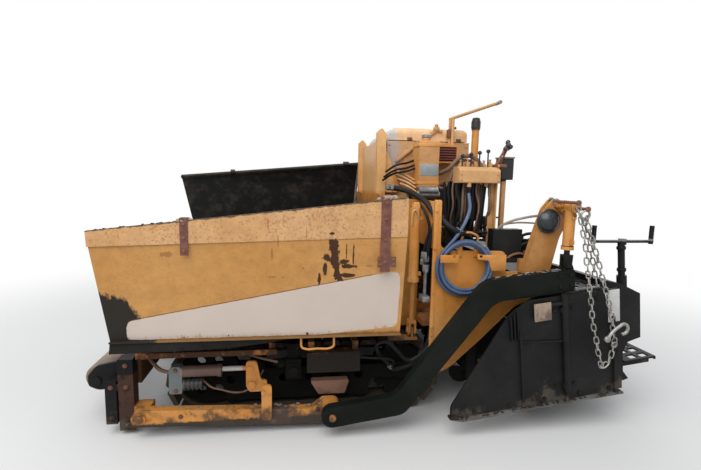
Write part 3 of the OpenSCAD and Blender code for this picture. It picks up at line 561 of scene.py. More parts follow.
def weathered(name, finish, patches=(), tilted=False, ribs=0.0):
    f = dict(zip(finishKeys, finishes[finish]))
    mat, n, shader, vector = newMaterial(name)
    if tilted:
        vector = levelled(n, vector)
    paint, faded = asColor(f["paint"]), asColor(f["faded"])
    at = n.parts(vector)
    sideways = n.add("ShaderNodeCombineXYZ")
    for axis, value in (("X", at["X"]), ("Y", n.math("ABSOLUTE", at["Y"])), ("Z", at["Z"])):
        n.link(value, sideways.inputs[axis])
    for low, high, soft, ragged, patchPaint, patchFaded in patches:
        mask = n.group(zone, Vector=sideways.outputs[0], Low=low, High=high, Soft=soft, Ragged=ragged)["Mask"]
        paint = n.mix(mask, paint, asColor(patchPaint))
        faded = n.mix(mask, faded, asColor(patchFaded))
    out = n.group(weather, Vector=vector, Paint=paint, Faded=faded, Dirt=asColor(f["dirt"]),
                  Rust=asColor(f["rust"]), Fading=f["fading"], Dirtiness=f["dirtiness"],
                  Rusting=f["rusting"], Streaks=f["streaks"], Splash=f["splash"])
    n.link(out["Color"], shader.inputs["Base Color"])
    n.link(n.plus(out["Roughness"], f["rough"] - 0.1, True), shader.inputs["Roughness"])
    shader.inputs["Specular IOR Level"].default_value = f.get("gloss", 0.3)
    height = out["Height"]
    if ribs:
        # ribs pressed into the hood's front
        wave = n.math("SINE", n.times(n.parts(vector)["Y"], 2 * math.pi / ribs))
        front = n.group(zone, Vector=vector, Low=(-0.2, -0.36, 1.9), High=(-0.1, 0.36, 2.02), Soft=0.03,
                        Ragged=0.0)["Mask"]
        height = n.plus(height, n.times(n.times(wave, front), 1.6))
    addRelief(n, shader, height, 0.25)
    return mat


materials = {name: weathered(name, name) for name in finishes}


def bareMetal(name, color, rough, metallic):
    mat, n, shader, vector = newMaterial(name)
    smudge = n.noise(vector, 20, 5, 0.6)
    tone = n.mix(n.ramp(smudge, 0.35, 0.75), asColor(color), asColor([c * 0.45 for c in color]))
    n.link(tone, shader.inputs["Base Color"])
    dull = n.plus(n.times(smudge, 0.3), rough - 0.12, True)
    n.link(dull, shader.inputs["Roughness"])
    shader.inputs["Metallic"].default_value = metallic
    addRelief(n, shader, smudge, 0.15, 0.001)
    materials[name] = mat


bareMetal("zincChain", (0.36, 0.345, 0.32), 0.48, 0.7)
bareMetal("greySteel", (0.25, 0.25, 0.25), 0.45, 0.7)
bareMetal("lampShell", (0.022, 0.027, 0.033), 0.27, 0.2)
bareMetal("knobBlack", (0.02, 0.02, 0.02), 0.35, 0.0)

# the hopper wings: upper band painted paler as painted sky light, blank pale band, black front corner, rust
# and asphalt

raisedWing = {"degrees": 37, "hingeY": 0.5, "hingeZ": 0.6}    # the right one; the left one lies down
wingColors = {
    # litUpper and litUpperFaded paint the upper band paler than the lower one: painted sky light on it
    "litUpper": (0.50, 0.275, 0.115), "litUpperFaded": (0.56, 0.335, 0.165), "lower": (0.485, 0.238, 0.068),
    "lowerFaded": (0.52, 0.27, 0.085), "dirt": (0.16, 0.075, 0.03), "chips": (0.17, 0.07, 0.03),
    "specks": (0.22, 0.10, 0.04), "fold": (0.34, 0.15, 0.045), "drips": (0.30, 0.12, 0.035),
    "rust": (0.035, 0.013, 0.006), "tar": (0.010, 0.0105, 0.009), "stripe": (0.10, 0.045, 0.03),
    "band": (0.52, 0.435, 0.37), "bandFaded": (0.55, 0.465, 0.40), "bandRuns": (0.32, 0.17, 0.09),
    "strap": (0.115, 0.045, 0.036), "strapFaded": (0.17, 0.075, 0.05), "coat": (0.045, 0.038, 0.032),
    "endMud": (0.44, 0.33, 0.25), "endDark": (0.20, 0.13, 0.09), "belly": (0.05, 0.035, 0.025),
    "bellyRust": (0.20, 0.09, 0.03),
}
tint = {name: asColor(rgb) for name, rgb in wingColors.items()}
wingLines = {
    # slope along x, and height where x is 0
    "fold": (0.0327, 1.3135),
    "cornerTop": (0.371, 0.392),
    "bandTop": (0.1875, 1.1082),
    "bandFoot": (0.085, 0.706),
    # slope along z, and place where z is 0
    "cornerRear": (0.545, 0.998),
    "innerFace": (0.1678, 1.08254),
    # slope along y, and height where y is 0
    "deck": (0.1353, 0.5421),
    # slope along x, and heights where the film of asphalt starts and is full
    "crest": (0.11455, 1.529, 1.536),
    # where a look starts and where it is full
    "litUpper": (1.312, 1.317),
    "strapFace": (1.3052, 1.3056),
    "endPlate": (-0.0435, -0.0465),
    "deckEdge": (1.19, 1.185),
    "bandEnds": (-0.034, 1.54),
    "bandRise": 0.42,    # behind it the band's foot rises
    "innerTop": 1.29,
    "foot": 0.712,
}
wingSpots = {
    # middle of each rust spot along the wing and up it, and its half sizes
    "splashes": [(0.372, 1.268, 0.034, 0.055), (0.368, 1.20, 0.030, 0.08), (0.352, 1.12, 0.022, 0.07),
                 (0.415, 1.195, 0.028, 0.030), (0.42, 1.13, 0.014, 0.05), (0.452, 1.06, 0.012, 0.05),
                 (0.30, 1.085, 0.065, 0.016), (0.285, 1.14, 0.05, 0.016), (0.31, 1.17, 0.03, 0.02),
                 (0.258, 1.21, 0.006, 0.1), (0.30, 1.23, 0.005, 0.09), (0.385, 1.335, 0.016, 0.010),
                 (0.33, 1.05, 0.020, 0.04)],
    "streaks": [(0.743, 1.385, 0.006, 0.045), (0.723, 1.215, 0.009, 0.05), (0.689, 1.285, 0.006, 0.05),
                (0.53, 1.33, 0.004, 0.05), (0.724, 1.078, 0.03, 0.008), (0.66, 1.075, 0.016, 0.006),
                (0.548, 1.13, 0.010, 0.012), (1.29, 1.215, 0.05, 0.022), (0.17, 1.14, 0.05, 0.006)],
    # low and high corner of each strap's bent upper end
    "strapEnds": [((1.166, 1.25, 1.404), (1.216, 1.32, 1.425)), ((0.042, 1.25, 1.531), (0.108, 1.32, 1.55))],
}


def deepest(n, vector, spots):
    depth = -9.0
    for x, z, along, up in spots:
        out = n.group(blob, Vector=vector, Centre=(x, 1.25, z), Size=(along, 9, up))["Depth"]
        depth = n.most(out, depth)
    return depth


def foldedDown(n, vector):
    # reads the raised right wing mirrored, as if it lay down like the left one
    flipped = n.add("ShaderNodeMapping")
    flipped.inputs["Scale"].default_value = (1, -1, 1)
    flipped.inputs["Location"].default_value = (0, -raisedWing["hingeY"], -raisedWing["hingeZ"])
    n.link(vector, flipped.inputs["Vector"])
    lowered = n.add("ShaderNodeMapping")
    lowered.inputs["Rotation"].default_value = (math.radians(-raisedWing["degrees"]), 0, 0)
    lowered.inputs["Location"].default_value = (0, raisedWing["hingeY"], raisedWing["hingeZ"])
    n.link(flipped.outputs["Vector"], lowered.inputs["Vector"])
    return lowered.outputs["Vector"]


def wingPaint(n, vector, at):
    slope, height = wingLines["fold"]
    fold = n.plus(at["Z"], n.times(at["X"], slope))
    # above the fold the wing is painted paler: painted sky light on the upper band
    litUpper = n.ramp(fold, *wingLines["litUpper"])
    paint = n.mix(litUpper, tint["lower"], tint["litUpper"])
    faded = n.mix(litUpper, tint["lowerFaded"], tint["litUpperFaded"])
    out = n.group(weather, Vector=vector, Paint=paint, Faded=faded, Dirt=tint["dirt"], Rust=tint["chips"],
                  Fading=0.9, Dirtiness=0.12, Rusting=0.34, Streaks=0.2, Splash=-0.2)
    # fine dark specks, more of them on the upper band, and a worn line along the fold
    speckle = n.plus(n.noise(vector, 70, 6, 0.75), n.times(n.noise(vector, 4, 3, 0.6), 0.25))
    strength = n.plus(n.times(litUpper, 0.45), 0.2)
    tone = n.mix(n.times(n.ramp(speckle, 0.62, 0.76), strength), out["Color"], tint["specks"])
    worn = n.ramp(n.math("ABSOLUTE", n.minus(fold, height)), 0.004, 0.0)
    return n.mix(n.times(worn, 0.35), tone, tint["fold"]), out


def wingRust(n, vector, tone, rough, drips):
    # thin rusty streaks, then the dark splashes
    thin = n.plus(deepest(n, vector, wingSpots["streaks"]), n.times(drips, 1.6))
    tone = n.mix(n.times(n.ramp(thin, 0.15, 0.5), 0.8), tone, tint["drips"])
    splash = n.plus(deepest(n, vector, wingSpots["splashes"]), n.times(rough, 1.8))
    splash = n.ramp(n.plus(splash, n.times(drips, 1.2)), 0.1, 0.28)
    return n.mix(n.times(splash, 0.97), tone, tint["rust"]), splash


def wingCorner(n, at, tone, rough, drips):
    # black front corner with drips along its upper edge, and a dark foot
    x, z = at["X"], at["Z"]
    slope, height = wingLines["cornerTop"]
    top = n.minus(z, n.plus(n.times(x, slope), height))
    slope, place = wingLines["cornerRear"]
    rear = n.minus(n.plus(n.times(z, slope), place), x)
    corner = n.math("SMOOTH_MAX", top, rear, c=0.05)
    corner = n.plus(corner, n.times(n.plus(rough, drips), 0.10))
    foot = n.plus(n.minus(z, wingLines["foot"]), n.times(drips, 0.035))
    tar = n.most(n.ramp(corner, 0.014, -0.014), n.times(n.ramp(foot, 0.012, -0.01), 0.6))
    return n.mix(n.times(tar, 0.985), tone, tint["tar"]), tar


def wingBand(n, vector, at, tone, rough, drips):
    # blank band: everything inside four rounded edges, under a thin dark stripe
    x, z = at["X"], at["Z"]
    slope, height = wingLines["bandTop"]
    top = n.minus(z, n.minus(height, n.times(x, slope)))
    slope, height = wingLines["bandFoot"]
    rise = n.times(n.most(n.minus(wingLines["bandRise"], x), 0.0), slope)
    bottom = n.minus(n.plus(rise, height), z)
    rear, front = wingLines["bandEnds"]
    edge = n.math("SMOOTH_MAX", top, n.minus(rear, x), c=0.11)
    edge = n.math("SMOOTH_MAX", edge, n.minus(x, front), c=0.07)
    edge = n.math("SMOOTH_MAX", edge, bottom, c=0.05)
    edge = n.plus(edge, n.times(rough, 0.014))
    stripe = n.ramp(n.math("ABSOLUTE", n.minus(top, 0.004)), 0.004, 0.0015)
    stripe = n.times(stripe, n.ramp(x, 0.10, 0.16))
    stripe = n.times(stripe, n.ramp(x, 1.52, 1.48))
    tone = n.mix(n.times(stripe, 0.75), tone, tint["stripe"])
    band = n.mix(n.ramp(n.noise(vector, 3, 4, 0.6), 0.3, 0.7), tint["band"], tint["bandFaded"])
    runs = n.ramp(n.plus(drips, n.times(n.ramp(bottom, -0.06, 0.0), 0.22)), 0.22, 0.3)
    band = n.mix(n.times(runs, 0.5), band, tint["bandRuns"])
    return n.mix(n.ramp(edge, 0.002, -0.002), tone, band)


def wingTop(n, vector, at, tone, rough):
    # asphalt film along the top edge, then the straps, which stand proud of the plate
    slope, start, full = wingLines["crest"]
    crest = n.plus(at["Z"], n.times(at["X"], slope))
    film = n.ramp(n.plus(crest, n.times(rough, 0.03)), start, full)
    tone = n.mix(n.times(film, 0.85), tone, tint["tar"])
    straps = n.ramp(at["Y"], *wingLines["strapFace"])
    for low, high in wingSpots["strapEnds"]:
        cap = n.group(zone, Vector=vector, Low=low, High=high, Soft=0.002, Ragged=0.0)["Mask"]
        straps = n.most(straps, cap)
    rusty = n.ramp(n.noise(vector, 30, 6, 0.7), 0.4, 0.65)
    return n.mix(straps, tone, n.mix(rusty, tint["strap"], tint["strapFaded"]))


def wingInside(n, vector, at, tone):
    # all inside the plate is coated with asphalt, the end plate is muddy and the underside grimy
    x, y, z = at["X"], at["Y"], at["Z"]
    slope, place = wingLines["innerFace"]
    face = n.plus(n.times(n.math("MINIMUM", z, wingLines["innerTop"]), slope), place)
    inside = n.ramp(n.minus(y, face), -0.0035, -0.0055)
    front, rear = wingLines["endPlate"]
    endPlate = n.times(inside, n.ramp(x, front, rear))
    inside = n.times(inside, n.ramp(x, rear, front))
    coat = n.mix(n.ramp(n.noise(vector, 9, 7, 0.7), 0.45, 0.7), tint["tar"], tint["coat"])
    tone = n.mix(inside, tone, coat)
    smear = n.ramp(n.noise(vector, 12, 6, 0.7), 0.42, 0.62)
    tone = n.mix(endPlate, tone, n.mix(smear, tint["endMud"], tint["endDark"]))
    slope, height = wingLines["deck"]
    under = n.ramp(n.minus(z, n.plus(n.times(y, slope), height)), 0.0015, -0.0015)
    under = n.times(under, n.ramp(y, *wingLines["deckEdge"]))
    grime = n.ramp(n.noise(vector, 4, 6, 0.7), 0.4, 0.6)
    return n.mix(under, tone, n.mix(grime, tint["belly"], tint["bellyRust"])), inside


def wingSkin(name, raisedRight):
    mat, n, shader, vector = newMaterial(name)
    if raisedRight:
        vector = foldedDown(n, vector)
    at = n.parts(vector)
    rough = n.minus(n.noise(vector, 22, 6, 0.7), 0.5)
    drips = n.minus(n.noise(n.scaled(vector, (42, 42, 5)), 1.0, 5, 0.7), 0.5)
    tone, out = wingPaint(n, vector, at)
    tone, splash = wingRust(n, vector, tone, rough, drips)
    tone, tar = wingCorner(n, at, tone, rough, drips)
    tone = wingBand(n, vector, at, tone, rough, drips)
    tone = wingTop(n, vector, at, tone, rough)
    tone, inside = wingInside(n, vector, at, tone)
    n.link(tone, shader.inputs["Base Color"])
    dull = n.most(n.most(splash, tar), inside)
    dull = n.plus(n.times(dull, 0.25), n.times(out["Roughness"], 0.6))
    n.link(n.plus(dull, 0.4, True), shader.inputs["Roughness"])
    shader.inputs["Specular IOR Level"].default_value = 0.25
    lumpy = n.times(n.noise(vector, 90, 4, 0.6), inside)
    height = n.plus(out["Height"], n.plus(n.times(lumpy, 2.2), splash))
    addRelief(n, shader, height, 0.25)
    return mat


materials["leftWingSkin"] = wingSkin("leftWingSkin", False)
materials["rightWingSkin"] = wingSkin("rightWingSkin", True)
print("wing skins built")

nodeFinish = {
    "main_frame": "grimyOrange", "hopper_floor": "asphaltSteel", "slat_conveyor": "asphaltSteel",
    "bulkhead": "orangePaint", "engine_block": "asphaltSteel", "engine_enclosure": "paleOrange",
    "hydraulic_tank": "orangePaint", "side_plates": "orangePaint", "operator_deck": "blackPaint",
    "consoles": "paleOrange", "grab_rails": "paleOrange", "exhaust_stack": "orangePaint",
    "hydraulic_hoses": "hoseRubber", "wash_hose": "blueHose", "hose_coil": "blueHose",
    "track_frames": "asphaltSteel", "track_belts": "trackSteel", "track_wheels": "asphaltSteel",
    "push_bar": "blackPaint", "tow_levers": "orangePaint", "tow_linkage": "orangePaint",
    "auger_hangers": "blackPaint", "lift_posts": "orangePaint", "safety_chains": "zincChain",
    "work_lamps": "lampShell", "wing_left": "leftWingSkin", "wing_right": "rightWingSkin",
    "wing_barrel_left": "orangePaint", "wing_rod_left": "rustySteel",
    "wing_barrel_right": "orangePaint", "wing_rod_right": "rustySteel",
    "flow_gate_left": "grimyOrange", "flow_gate_right": "grimyOrange", "tow_arms": "armPaint",
    "screed_body": "blackPaint", "end_gates": "blackPaint", "screed_steps": "blackPaint",
    "crank_handles": "blackPaint", "lift_barrels": "orangePaint", "lift_rods": "blackPaint",
    "hood": "hoodPaint", "auger_left": "asphaltSteel", "auger_right": "asphaltSteel",
    "roller_left": "dryMud", "roller_right": "dryMud",
}
screedNodes = ("tow_arms", "screed_body", "end_gates", "screed_steps")


def paintNode(node, finish):
    mat = materials[finish]
    if node in zones or node in screedNodes:
        ribs = 0.05 if node == "hood" else 0.0
        mat = weathered(node.replace("_", "") + "Paint", finish, zones.get(node, ()), node in screedNodes,
                        ribs=ribs)
    mesh = bpy.data.objects[node].data
    for i in range(len(mesh.materials)):
        mesh.materials[i] = mat
    if not mesh.materials:
        mesh.materials.append(mat)


for node, finish in nodeFinish.items():
    paintNode(node, finish)
print("frame painted")

# modelling steps that the pieces share


def settle(obj):
    pick(obj)
    bpy.ops.object.transform_apply(location=True, rotation=True, scale=True)
    return obj


def soften(obj, width, segments=2):
    pick(obj)
    edge = obj.modifiers.new("softEdge", "BEVEL")
    edge.width = width
    edge.segments = segments
    edge.limit_method = "ANGLE"
    edge.angle_limit = math.radians(35)
    bpy.ops.object.modifier_apply(modifier="softEdge")
    return obj


def block(low, high, edge=0.003):
    middle = [(a + b) / 2 for a, b in zip(low, high)]
    size = [b - a for a, b in zip(low, high)]
    deselect()
    bpy.ops.mesh.primitive_cube_add(size=1, location=middle, scale=size)
    return soften(settle(bpy.context.object), edge)


def blocks(rows):
    return [block(low, high, edge) for low, high, edge in rows]


def plate(outline, low, high, across="y", edge=0.0015):
    # the outline's points lie in the plane that the plate's thickness crosses
    deselect()
    bpy.ops.mesh.primitive_circle_add(vertices=len(outline), radius=1, fill_type="NGON")
    obj = bpy.context.object
    axis = "xyz".index(across)
    for vertex, point in zip(obj.data.vertices, outline):
        spot = list(point)
        spot.insert(axis, low)
        vertex.co = spot
    move = [0, 0, 0]
    move[axis] = high - low
    bpy.ops.object.mode_set(mode="EDIT")
    bpy.ops.mesh.select_all(action="SELECT")
    bpy.ops.mesh.extrude_region_move(TRANSFORM_OT_translate={"value": move})
    bpy.ops.mesh.select_all(action="SELECT")
    bpy.ops.mesh.normals_make_consistent(inside=False)
    bpy.ops.object.mode_set(mode="OBJECT")
    return soften(obj, edge) if edge else obj


def roundedBox(x0, x1, z0, z1, r, steps=4):
    points = []
    centres = ((x1 - r, z1 - r), (x0 + r, z1 - r), (x0 + r, z0 + r), (x1 - r, z0 + r))
    for quarter, (cx, cz) in enumerate(centres):
        for i in range(steps + 1):
            a = math.radians(90 * (quarter + i / steps))
            points.append((cx + r * math.cos(a), cz + r * math.sin(a)))
    return points


def turned(profile, foot, head, sides=20):
    # profile: distance from the foot and radius, made upright and then stood between foot and head
    foot, head = Vector(foot), Vector(head)
    deselect()
    bpy.ops.mesh.primitive_circle_add(vertices=sides, radius=profile[0][1], fill_type="NGON",
                                      location=(0, 0, profile[0][0]))
    obj = bpy.context.object
    bpy.ops.object.mode_set(mode="EDIT")
    bpy.ops.mesh.select_all(action="SELECT")
    for (z0, r0), (z1, r1) in zip(profile, profile[1:]):
        bpy.ops.mesh.extrude_region_move(TRANSFORM_OT_translate={"value": (0, 0, z1 - z0)})
        bpy.ops.transform.resize(value=(r1 / r0, r1 / r0, 1))
    bpy.ops.mesh.select_all(action="SELECT")
    bpy.ops.mesh.normals_make_consistent(inside=False)
    bpy.ops.object.mode_set(mode="OBJECT")
    obj.rotation_euler = (head - foot).to_track_quat("Z", "Y").to_euler()
    settle(obj)
    obj.data.transform(Matrix.Translation(foot))
    return obj


def rod(a, b, radius, sides=16):
    length = (Vector(b) - Vector(a)).length
    edge = min(radius * 0.25, length * 0.2)
    return turned([(0, radius - edge), (edge, radius), (length - edge, radius), (length, radius - edge)],
                  a, b, sides)


def hose(route, radius, sides=8):
    obj = openCurve(route, radius, sides)
    pick(obj)
    bpy.ops.object.convert(target="MESH")
    return bpy.context.object


def hoses(rows):
    return [hose(route, radius, sides) for route, radius, sides in rows]


def copyTo(model, matrix):
    twin = model.copy()
    twin.data = model.data.copy()
    bpy.context.collection.objects.link(twin)
    twin.data.transform(matrix)
    if matrix.determinant() < 0:
        twin.data.flip_normals()
    return twin


mirrorSide = Matrix.Scale(-1, 4, (0, 1, 0))


def bothSides(parts):
    return parts + [copyTo(p, mirrorSide) for p in parts]


def drop(obj):
    bpy.data.objects.remove(obj, do_unlink=True)


def piece(name, body, finish, parts, tilted=False, smooth=35):
    deselect()
    for part in parts:
        part.select_set(True)
    bpy.context.view_layer.objects.active = parts[0]
    if len(parts) > 1:
        bpy.ops.object.join()
    obj = bpy.context.object
    obj.name = name
    obj.data.name = name
    if tilted:
        obj.data.transform(toStored)
    bpy.ops.object.shade_smooth_by_angle(angle=math.radians(smooth))
    obj.data.materials.clear()
    obj.data.materials.append(materials[finish])
    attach(obj, body)
    return obj


def pointing(place, direction, turn=0.0):
    aim = Vector(direction).to_track_quat("Z", "Y").to_matrix().to_4x4()
    return Matrix.Translation(place) @ aim @ Matrix.Rotation(turn, 4, "Z")


def outward(places, direction=(0, 1, 0)):
    # most bolts look to the machine's left, before they are mirrored
    return [(place, direction) for place in places]


# washer and hexagon head: distance along the bolt and radius there
boltProfile = [(-0.002, 0.016), (0.003, 0.016), (0.003, 0.011), (0.009, 0.011), (0.0105, 0.0088)]
bolt = turned(boltProfile, (0, 0, 0), (0, 0, 1), 6)


def bolts(name, body, finish, places, tilted=False, mirror=True, scale=1.0):
    shrink = Matrix.Scale(scale, 4)
    parts = [copyTo(bolt, pointing(p, d, random.random()) @ shrink) for p, d in places]
    if mirror:
        parts = bothSides(parts)
    return piece(name, body, finish, parts, tilted, 30)


def lumpModels(count=4):
    models = []
    for i in range(count):
        deselect()
        bpy.ops.mesh.primitive_ico_sphere_add(subdivisions=2, radius=1)
        obj = bpy.context.object
        bpy.ops.object.mode_set(mode="EDIT")
        bpy.ops.mesh.select_all(action="SELECT")
        bpy.ops.transform.vertex_random(offset=0.28, uniform=1, normal=0.2, seed=i + 3)
        bpy.ops.object.mode_set(mode="OBJECT")
        models.append(obj)
    return models


lumps = lumpModels()


def scatter(places, size, flat):
    parts = []
    for place in places:
        s = size * random.uniform(0.5, 1.2)
        turn = Matrix.Rotation(random.uniform(0, 6.3), 4, "Z")
        shape = Matrix.Diagonal((s, s * random.uniform(0.6, 1), s * flat, 1))
        parts.append(copyTo(random.choice(lumps), Matrix.Translation(place) @ turn @ shape))
    return parts


def between(a, b, count, spread):
    a, b = Vector(a), Vector(b)
    places = []
    for _ in range(count):
        off = Vector([random.uniform(-s, s) for s in spread])
        places.append(a.lerp(b, random.random()) + off)
    return places


def strew(rows):
    # each row: from, to, count, spread, size, flatness
    parts = []
    for a, b, count, spread, size, flat in rows:
        parts += scatter(between(a, b, count, spread), size, flat)
    return parts


print("modelling steps ready")

# wash hose finish, its nozzle and the sleeve at its gland

hoseEnds = {
    # distance along the fitting and its radius there
    "nozzle": [(0, 0.0112), (0.004, 0.0122), (0.016, 0.0122), (0.018, 0.0105), (0.044, 0.0105),
               (0.046, 0.0122),
               (0.058, 0.0122), (0.060, 0.009), (0.072, 0.0075), (0.075, 0.0055)],
    "sleeve": [(0, 0.0165), (0.004, 0.0175), (0.012, 0.0175), (0.014, 0.0160), (0.022, 0.0155),
               (0.024, 0.0145),
               (0.032, 0.0140), (0.034, 0.0130), (0.044, 0.0125)],
    "gland": (-0.6, 0.88, 1.613),
    "below": (-0.6, 0.88, 1.5),
    "sides": 18,
}


def dressWashHose():
    hoseCurve.data.materials.append(materials["blueHose"])
    shareOfTurn = washHose["nozzleLength"] / (2 * math.pi * washHose["tipRadius"])
    ahead = coilPoint(washHose["turns"] + shareOfTurn)
    tip = turned(hoseEnds["nozzle"], washRoute[-1], ahead, hoseEnds["sides"])
    nozzle = piece("hoseNozzle", "tractor", "greySteel", [tip])
    sleeve = turned(hoseEnds["sleeve"], hoseEnds["gland"], hoseEnds["below"], hoseEnds["sides"])
    piece("hoseSleeve", "tractor", "hoseRubber", [sleeve])
    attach(hoseCurve, "tractor")
    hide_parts("wash_hose", "hose_coil")


dressWashHose()
print("wash hose dressed")

# hydraulic hoses: the bundle under the console, the big pair past the bulkhead, the tow motor's loop

hydraulics = {
    "consoleRadius": 0.010,
    "bundle": 18,
    "bundleRadii": (0.007, 0.009, 0.011),
    # a dark sheet behind the bundle, standing in for the shade in the recess there: x and z
    "shadeSheet": [(-0.50, 1.648), (-0.785, 1.648), (-0.785, 1.40), (-0.722, 1.36), (-0.722, 1.19),
               (-0.50, 1.19)],
    # route, radius and sides of each single hose
    "big": [
        ([(-0.075, 0.66, 1.60), (-0.173, 0.70, 1.585), (-0.248, 0.80, 1.548), (-0.319, 0.90, 1.482),
          (-0.379, 0.96, 1.402), (-0.426, 1.02, 1.345), (-0.47, 1.035, 1.32), (-0.53, 1.01, 1.30),
          (-0.60, 0.93, 1.27)], 0.019, 12),
        ([(-0.270, 0.85, 1.53), (-0.299, 0.925, 1.482), (-0.332, 0.962, 1.40), (-0.322, 0.965, 1.30),
          (-0.304, 0.960, 1.212), (-0.292, 0.955, 1.12), (-0.290, 0.950, 1.05)], 0.01615, 12),
        ([(-0.25, 0.86, 1.50), (-0.275, 0.93, 1.44), (-0.305, 0.945, 1.34), (-0.285, 0.94, 1.22),
          (-0.27, 0.93, 1.14)], 0.0095, 10),
    ],
    "motor": [
        ([(-0.10, 0.88, 0.33), (-0.03, 0.90, 0.40), (0.03, 0.93, 0.49), (0.02, 0.95, 0.54),
          (-0.04, 0.955, 0.545), (-0.11, 0.957, 0.48), (-0.19, 0.955, 0.41), (-0.245, 0.952, 0.425),
          (-0.30, 0.95, 0.47), (-0.36, 0.95, 0.525), (-0.415, 0.95, 0.56)], 0.014, 10),
        ([(-0.10, 0.86, 0.30), (-0.16, 0.905, 0.335), (-0.235, 0.915, 0.37), (-0.30, 0.91, 0.43),
          (-0.34, 0.91, 0.52), (-0.36, 0.905, 0.62)], 0.014, 10),
        ([(0.25, 0.90, 0.46), (0.16, 0.93, 0.44), (0.06, 0.94, 0.43), (-0.03, 0.93, 0.42),
          (-0.10, 0.90, 0.38),
          (-0.10, 0.87, 0.34)], 0.009, 8),
    ],
    "arch": [
        ([(-0.44, 0.60, 1.70), (-0.47, 0.70, 1.715), (-0.50, 0.765, 1.745), (-0.54, 0.79, 1.80),
          (-0.60, 0.80, 1.83), (-0.66, 0.81, 1.815), (-0.70, 0.825, 1.77), (-0.71, 0.83, 1.745)], 0.015, 10),
        ([(-0.44, 0.66, 1.62), (-0.475, 0.72, 1.60), (-0.50, 0.76, 1.645), (-0.545, 0.775, 1.77),
          (-0.60, 0.785, 1.80), (-0.655, 0.80, 1.785), (-0.685, 0.82, 1.745)], 0.010, 10),
    ],
    # both ends and the radius of each fitting
    "fittings": [((-0.291, 0.952, 1.17), (-0.290, 0.950, 1.03), 0.022),
                 ((-0.274, 0.932, 1.17), (-0.268, 0.928, 1.08), 0.014),
                 ((-0.07, 0.657, 1.602), (-0.12, 0.68, 1.597), 0.024),
                 ((-0.455, 1.03, 1.328), (-0.50, 1.025, 1.312), 0.024),
                 ((-0.092, 0.874, 0.32), (-0.07, 0.888, 0.352), 0.018),
                 ((-0.396, 0.95, 0.548), (-0.425, 0.95, 0.565), 0.018)],
    # along a fitting and across it, as shares of its length and radius
    "fittingShape": [(0, 0.85), (0.15, 1), (0.45, 1), (0.5, 0.8), (0.6, 0.8), (0.65, 1.05), (0.9, 1.05),
                     (1, 0.85)],
}


def consoleHoses():
    parts = []
    for i in range(4):
        y = 0.75 + 0.026 * i
        parts.append(hose([(-0.47 - 0.06 * i, y, 1.645), (-0.475 - 0.058 * i, y, 1.56),
                           (-0.49 - 0.052 * i, y, 1.40), (-0.545, y, 1.275 + 0.02 * i),
                           (-0.62, y, 1.205 + 0.03 * i), (-0.70, y, 1.2 + 0.03 * i),
                           (-0.775, y, 1.2 + 0.03 * i)], hydraulics["consoleRadius"]))
    for i in range(hydraulics["bundle"]):
        x = -0.50 - 0.0162 * i
        y = 0.765 + 0.035 * (i % 3)
        sway = random.uniform(-0.03, 0.03)
        low = random.uniform(1.28, 1.42)
        parts.append(hose([(x, y, 1.648), (x + 0.004, y, 1.58), (x + sway, y + 0.01, 1.48),
                           (x + sway * 0.5, y - 0.02, low), (x - 0.02, y - 0.07, low - 0.07),
                           (x - 0.03, y - 0.14, low - 0.10)], random.choice(hydraulics["bundleRadii"])))
    return parts


def darkLines():
    parts = []
    for i in (0, 2, 5):
        z = 1.70 + 0.012 * i
        parts.append(hose([(-0.07, 0.50 + 0.02 * i, z - 0.05), (-0.14, 0.56 + 0.015 * i, z),
                           (-0.23, 0.60, z + 0.02), (-0.30, 0.60 - 0.01 * i, z + 0.045)], 0.008))
    return parts


def paleLines():
    parts = []
    for i in range(4):
        foot = Vector((-0.150 - 0.012 * i, 0.50 + 0.03 * i, 1.735 - 0.035 * i))
        head = Vector((-0.286, 0.62 + 0.02 * i, 1.655 - 0.028 * i))
        middle = foot.lerp(head, 0.5) + Vector((0, 0.012, 0.006))
        parts.append(hose([foot, middle, head], 0.0065))
    return parts


def hoseFittings():
    parts = []
    for a, b, r in hydraulics["fittings"]:
        length = (Vector(b) - Vector(a)).length
        shape = [(length * along, r * across) for along, across in hydraulics["fittingShape"]]
        parts.append(turned(shape, a, b, 6 if r > 0.017 else 12))
    parts.append(rod((-0.290, 0.950, 1.04), (-0.291, 0.945, 0.86), 0.012, 12))
    parts.append(block((-0.315, 0.90, 0.83), (-0.262, 0.992, 0.87), 0.006))
    return parts


def plumbing():
    console = consoleHoses()
    black = bothSides(console[:4] + console[4::2]) + hoses(hydraulics["big"])
    black += bothSides(hoses(hydraulics["motor"])) + darkLines()
    lines = piece("hydraulicHoses", "tractor", "hoseRubber", black, smooth=60)
    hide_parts("hydraulic_hoses")
    brown = bothSides(console[5::2]) + hoses(hydraulics["arch"])
    piece("brownHoses", "tractor", "brownHose", brown, smooth=60)
    # a dark sheet and its ties behind the bundle: painted shade in the recess
    shadeSheet = plate(hydraulics["shadeSheet"], 0.716, 0.722, "y", 0.001)
    ties = [block((x, 0.716, 1.642), (x + 0.02, 0.79, 1.652), 0.001) for x in (-0.53, -0.76)]
    piece("hoseShadeSheet", "tractor", "asphaltSteel", bothSides([shadeSheet] + ties))
    piece("paleHoses", "tractor", "paleOrange", paleLines(), smooth=60)
    piece("hoseFittings", "tractor", "greySteel", hoseFittings())


plumbing()
print("hydraulic hoses laid")

# safety chains: oval links along two runs, hooked on two pins

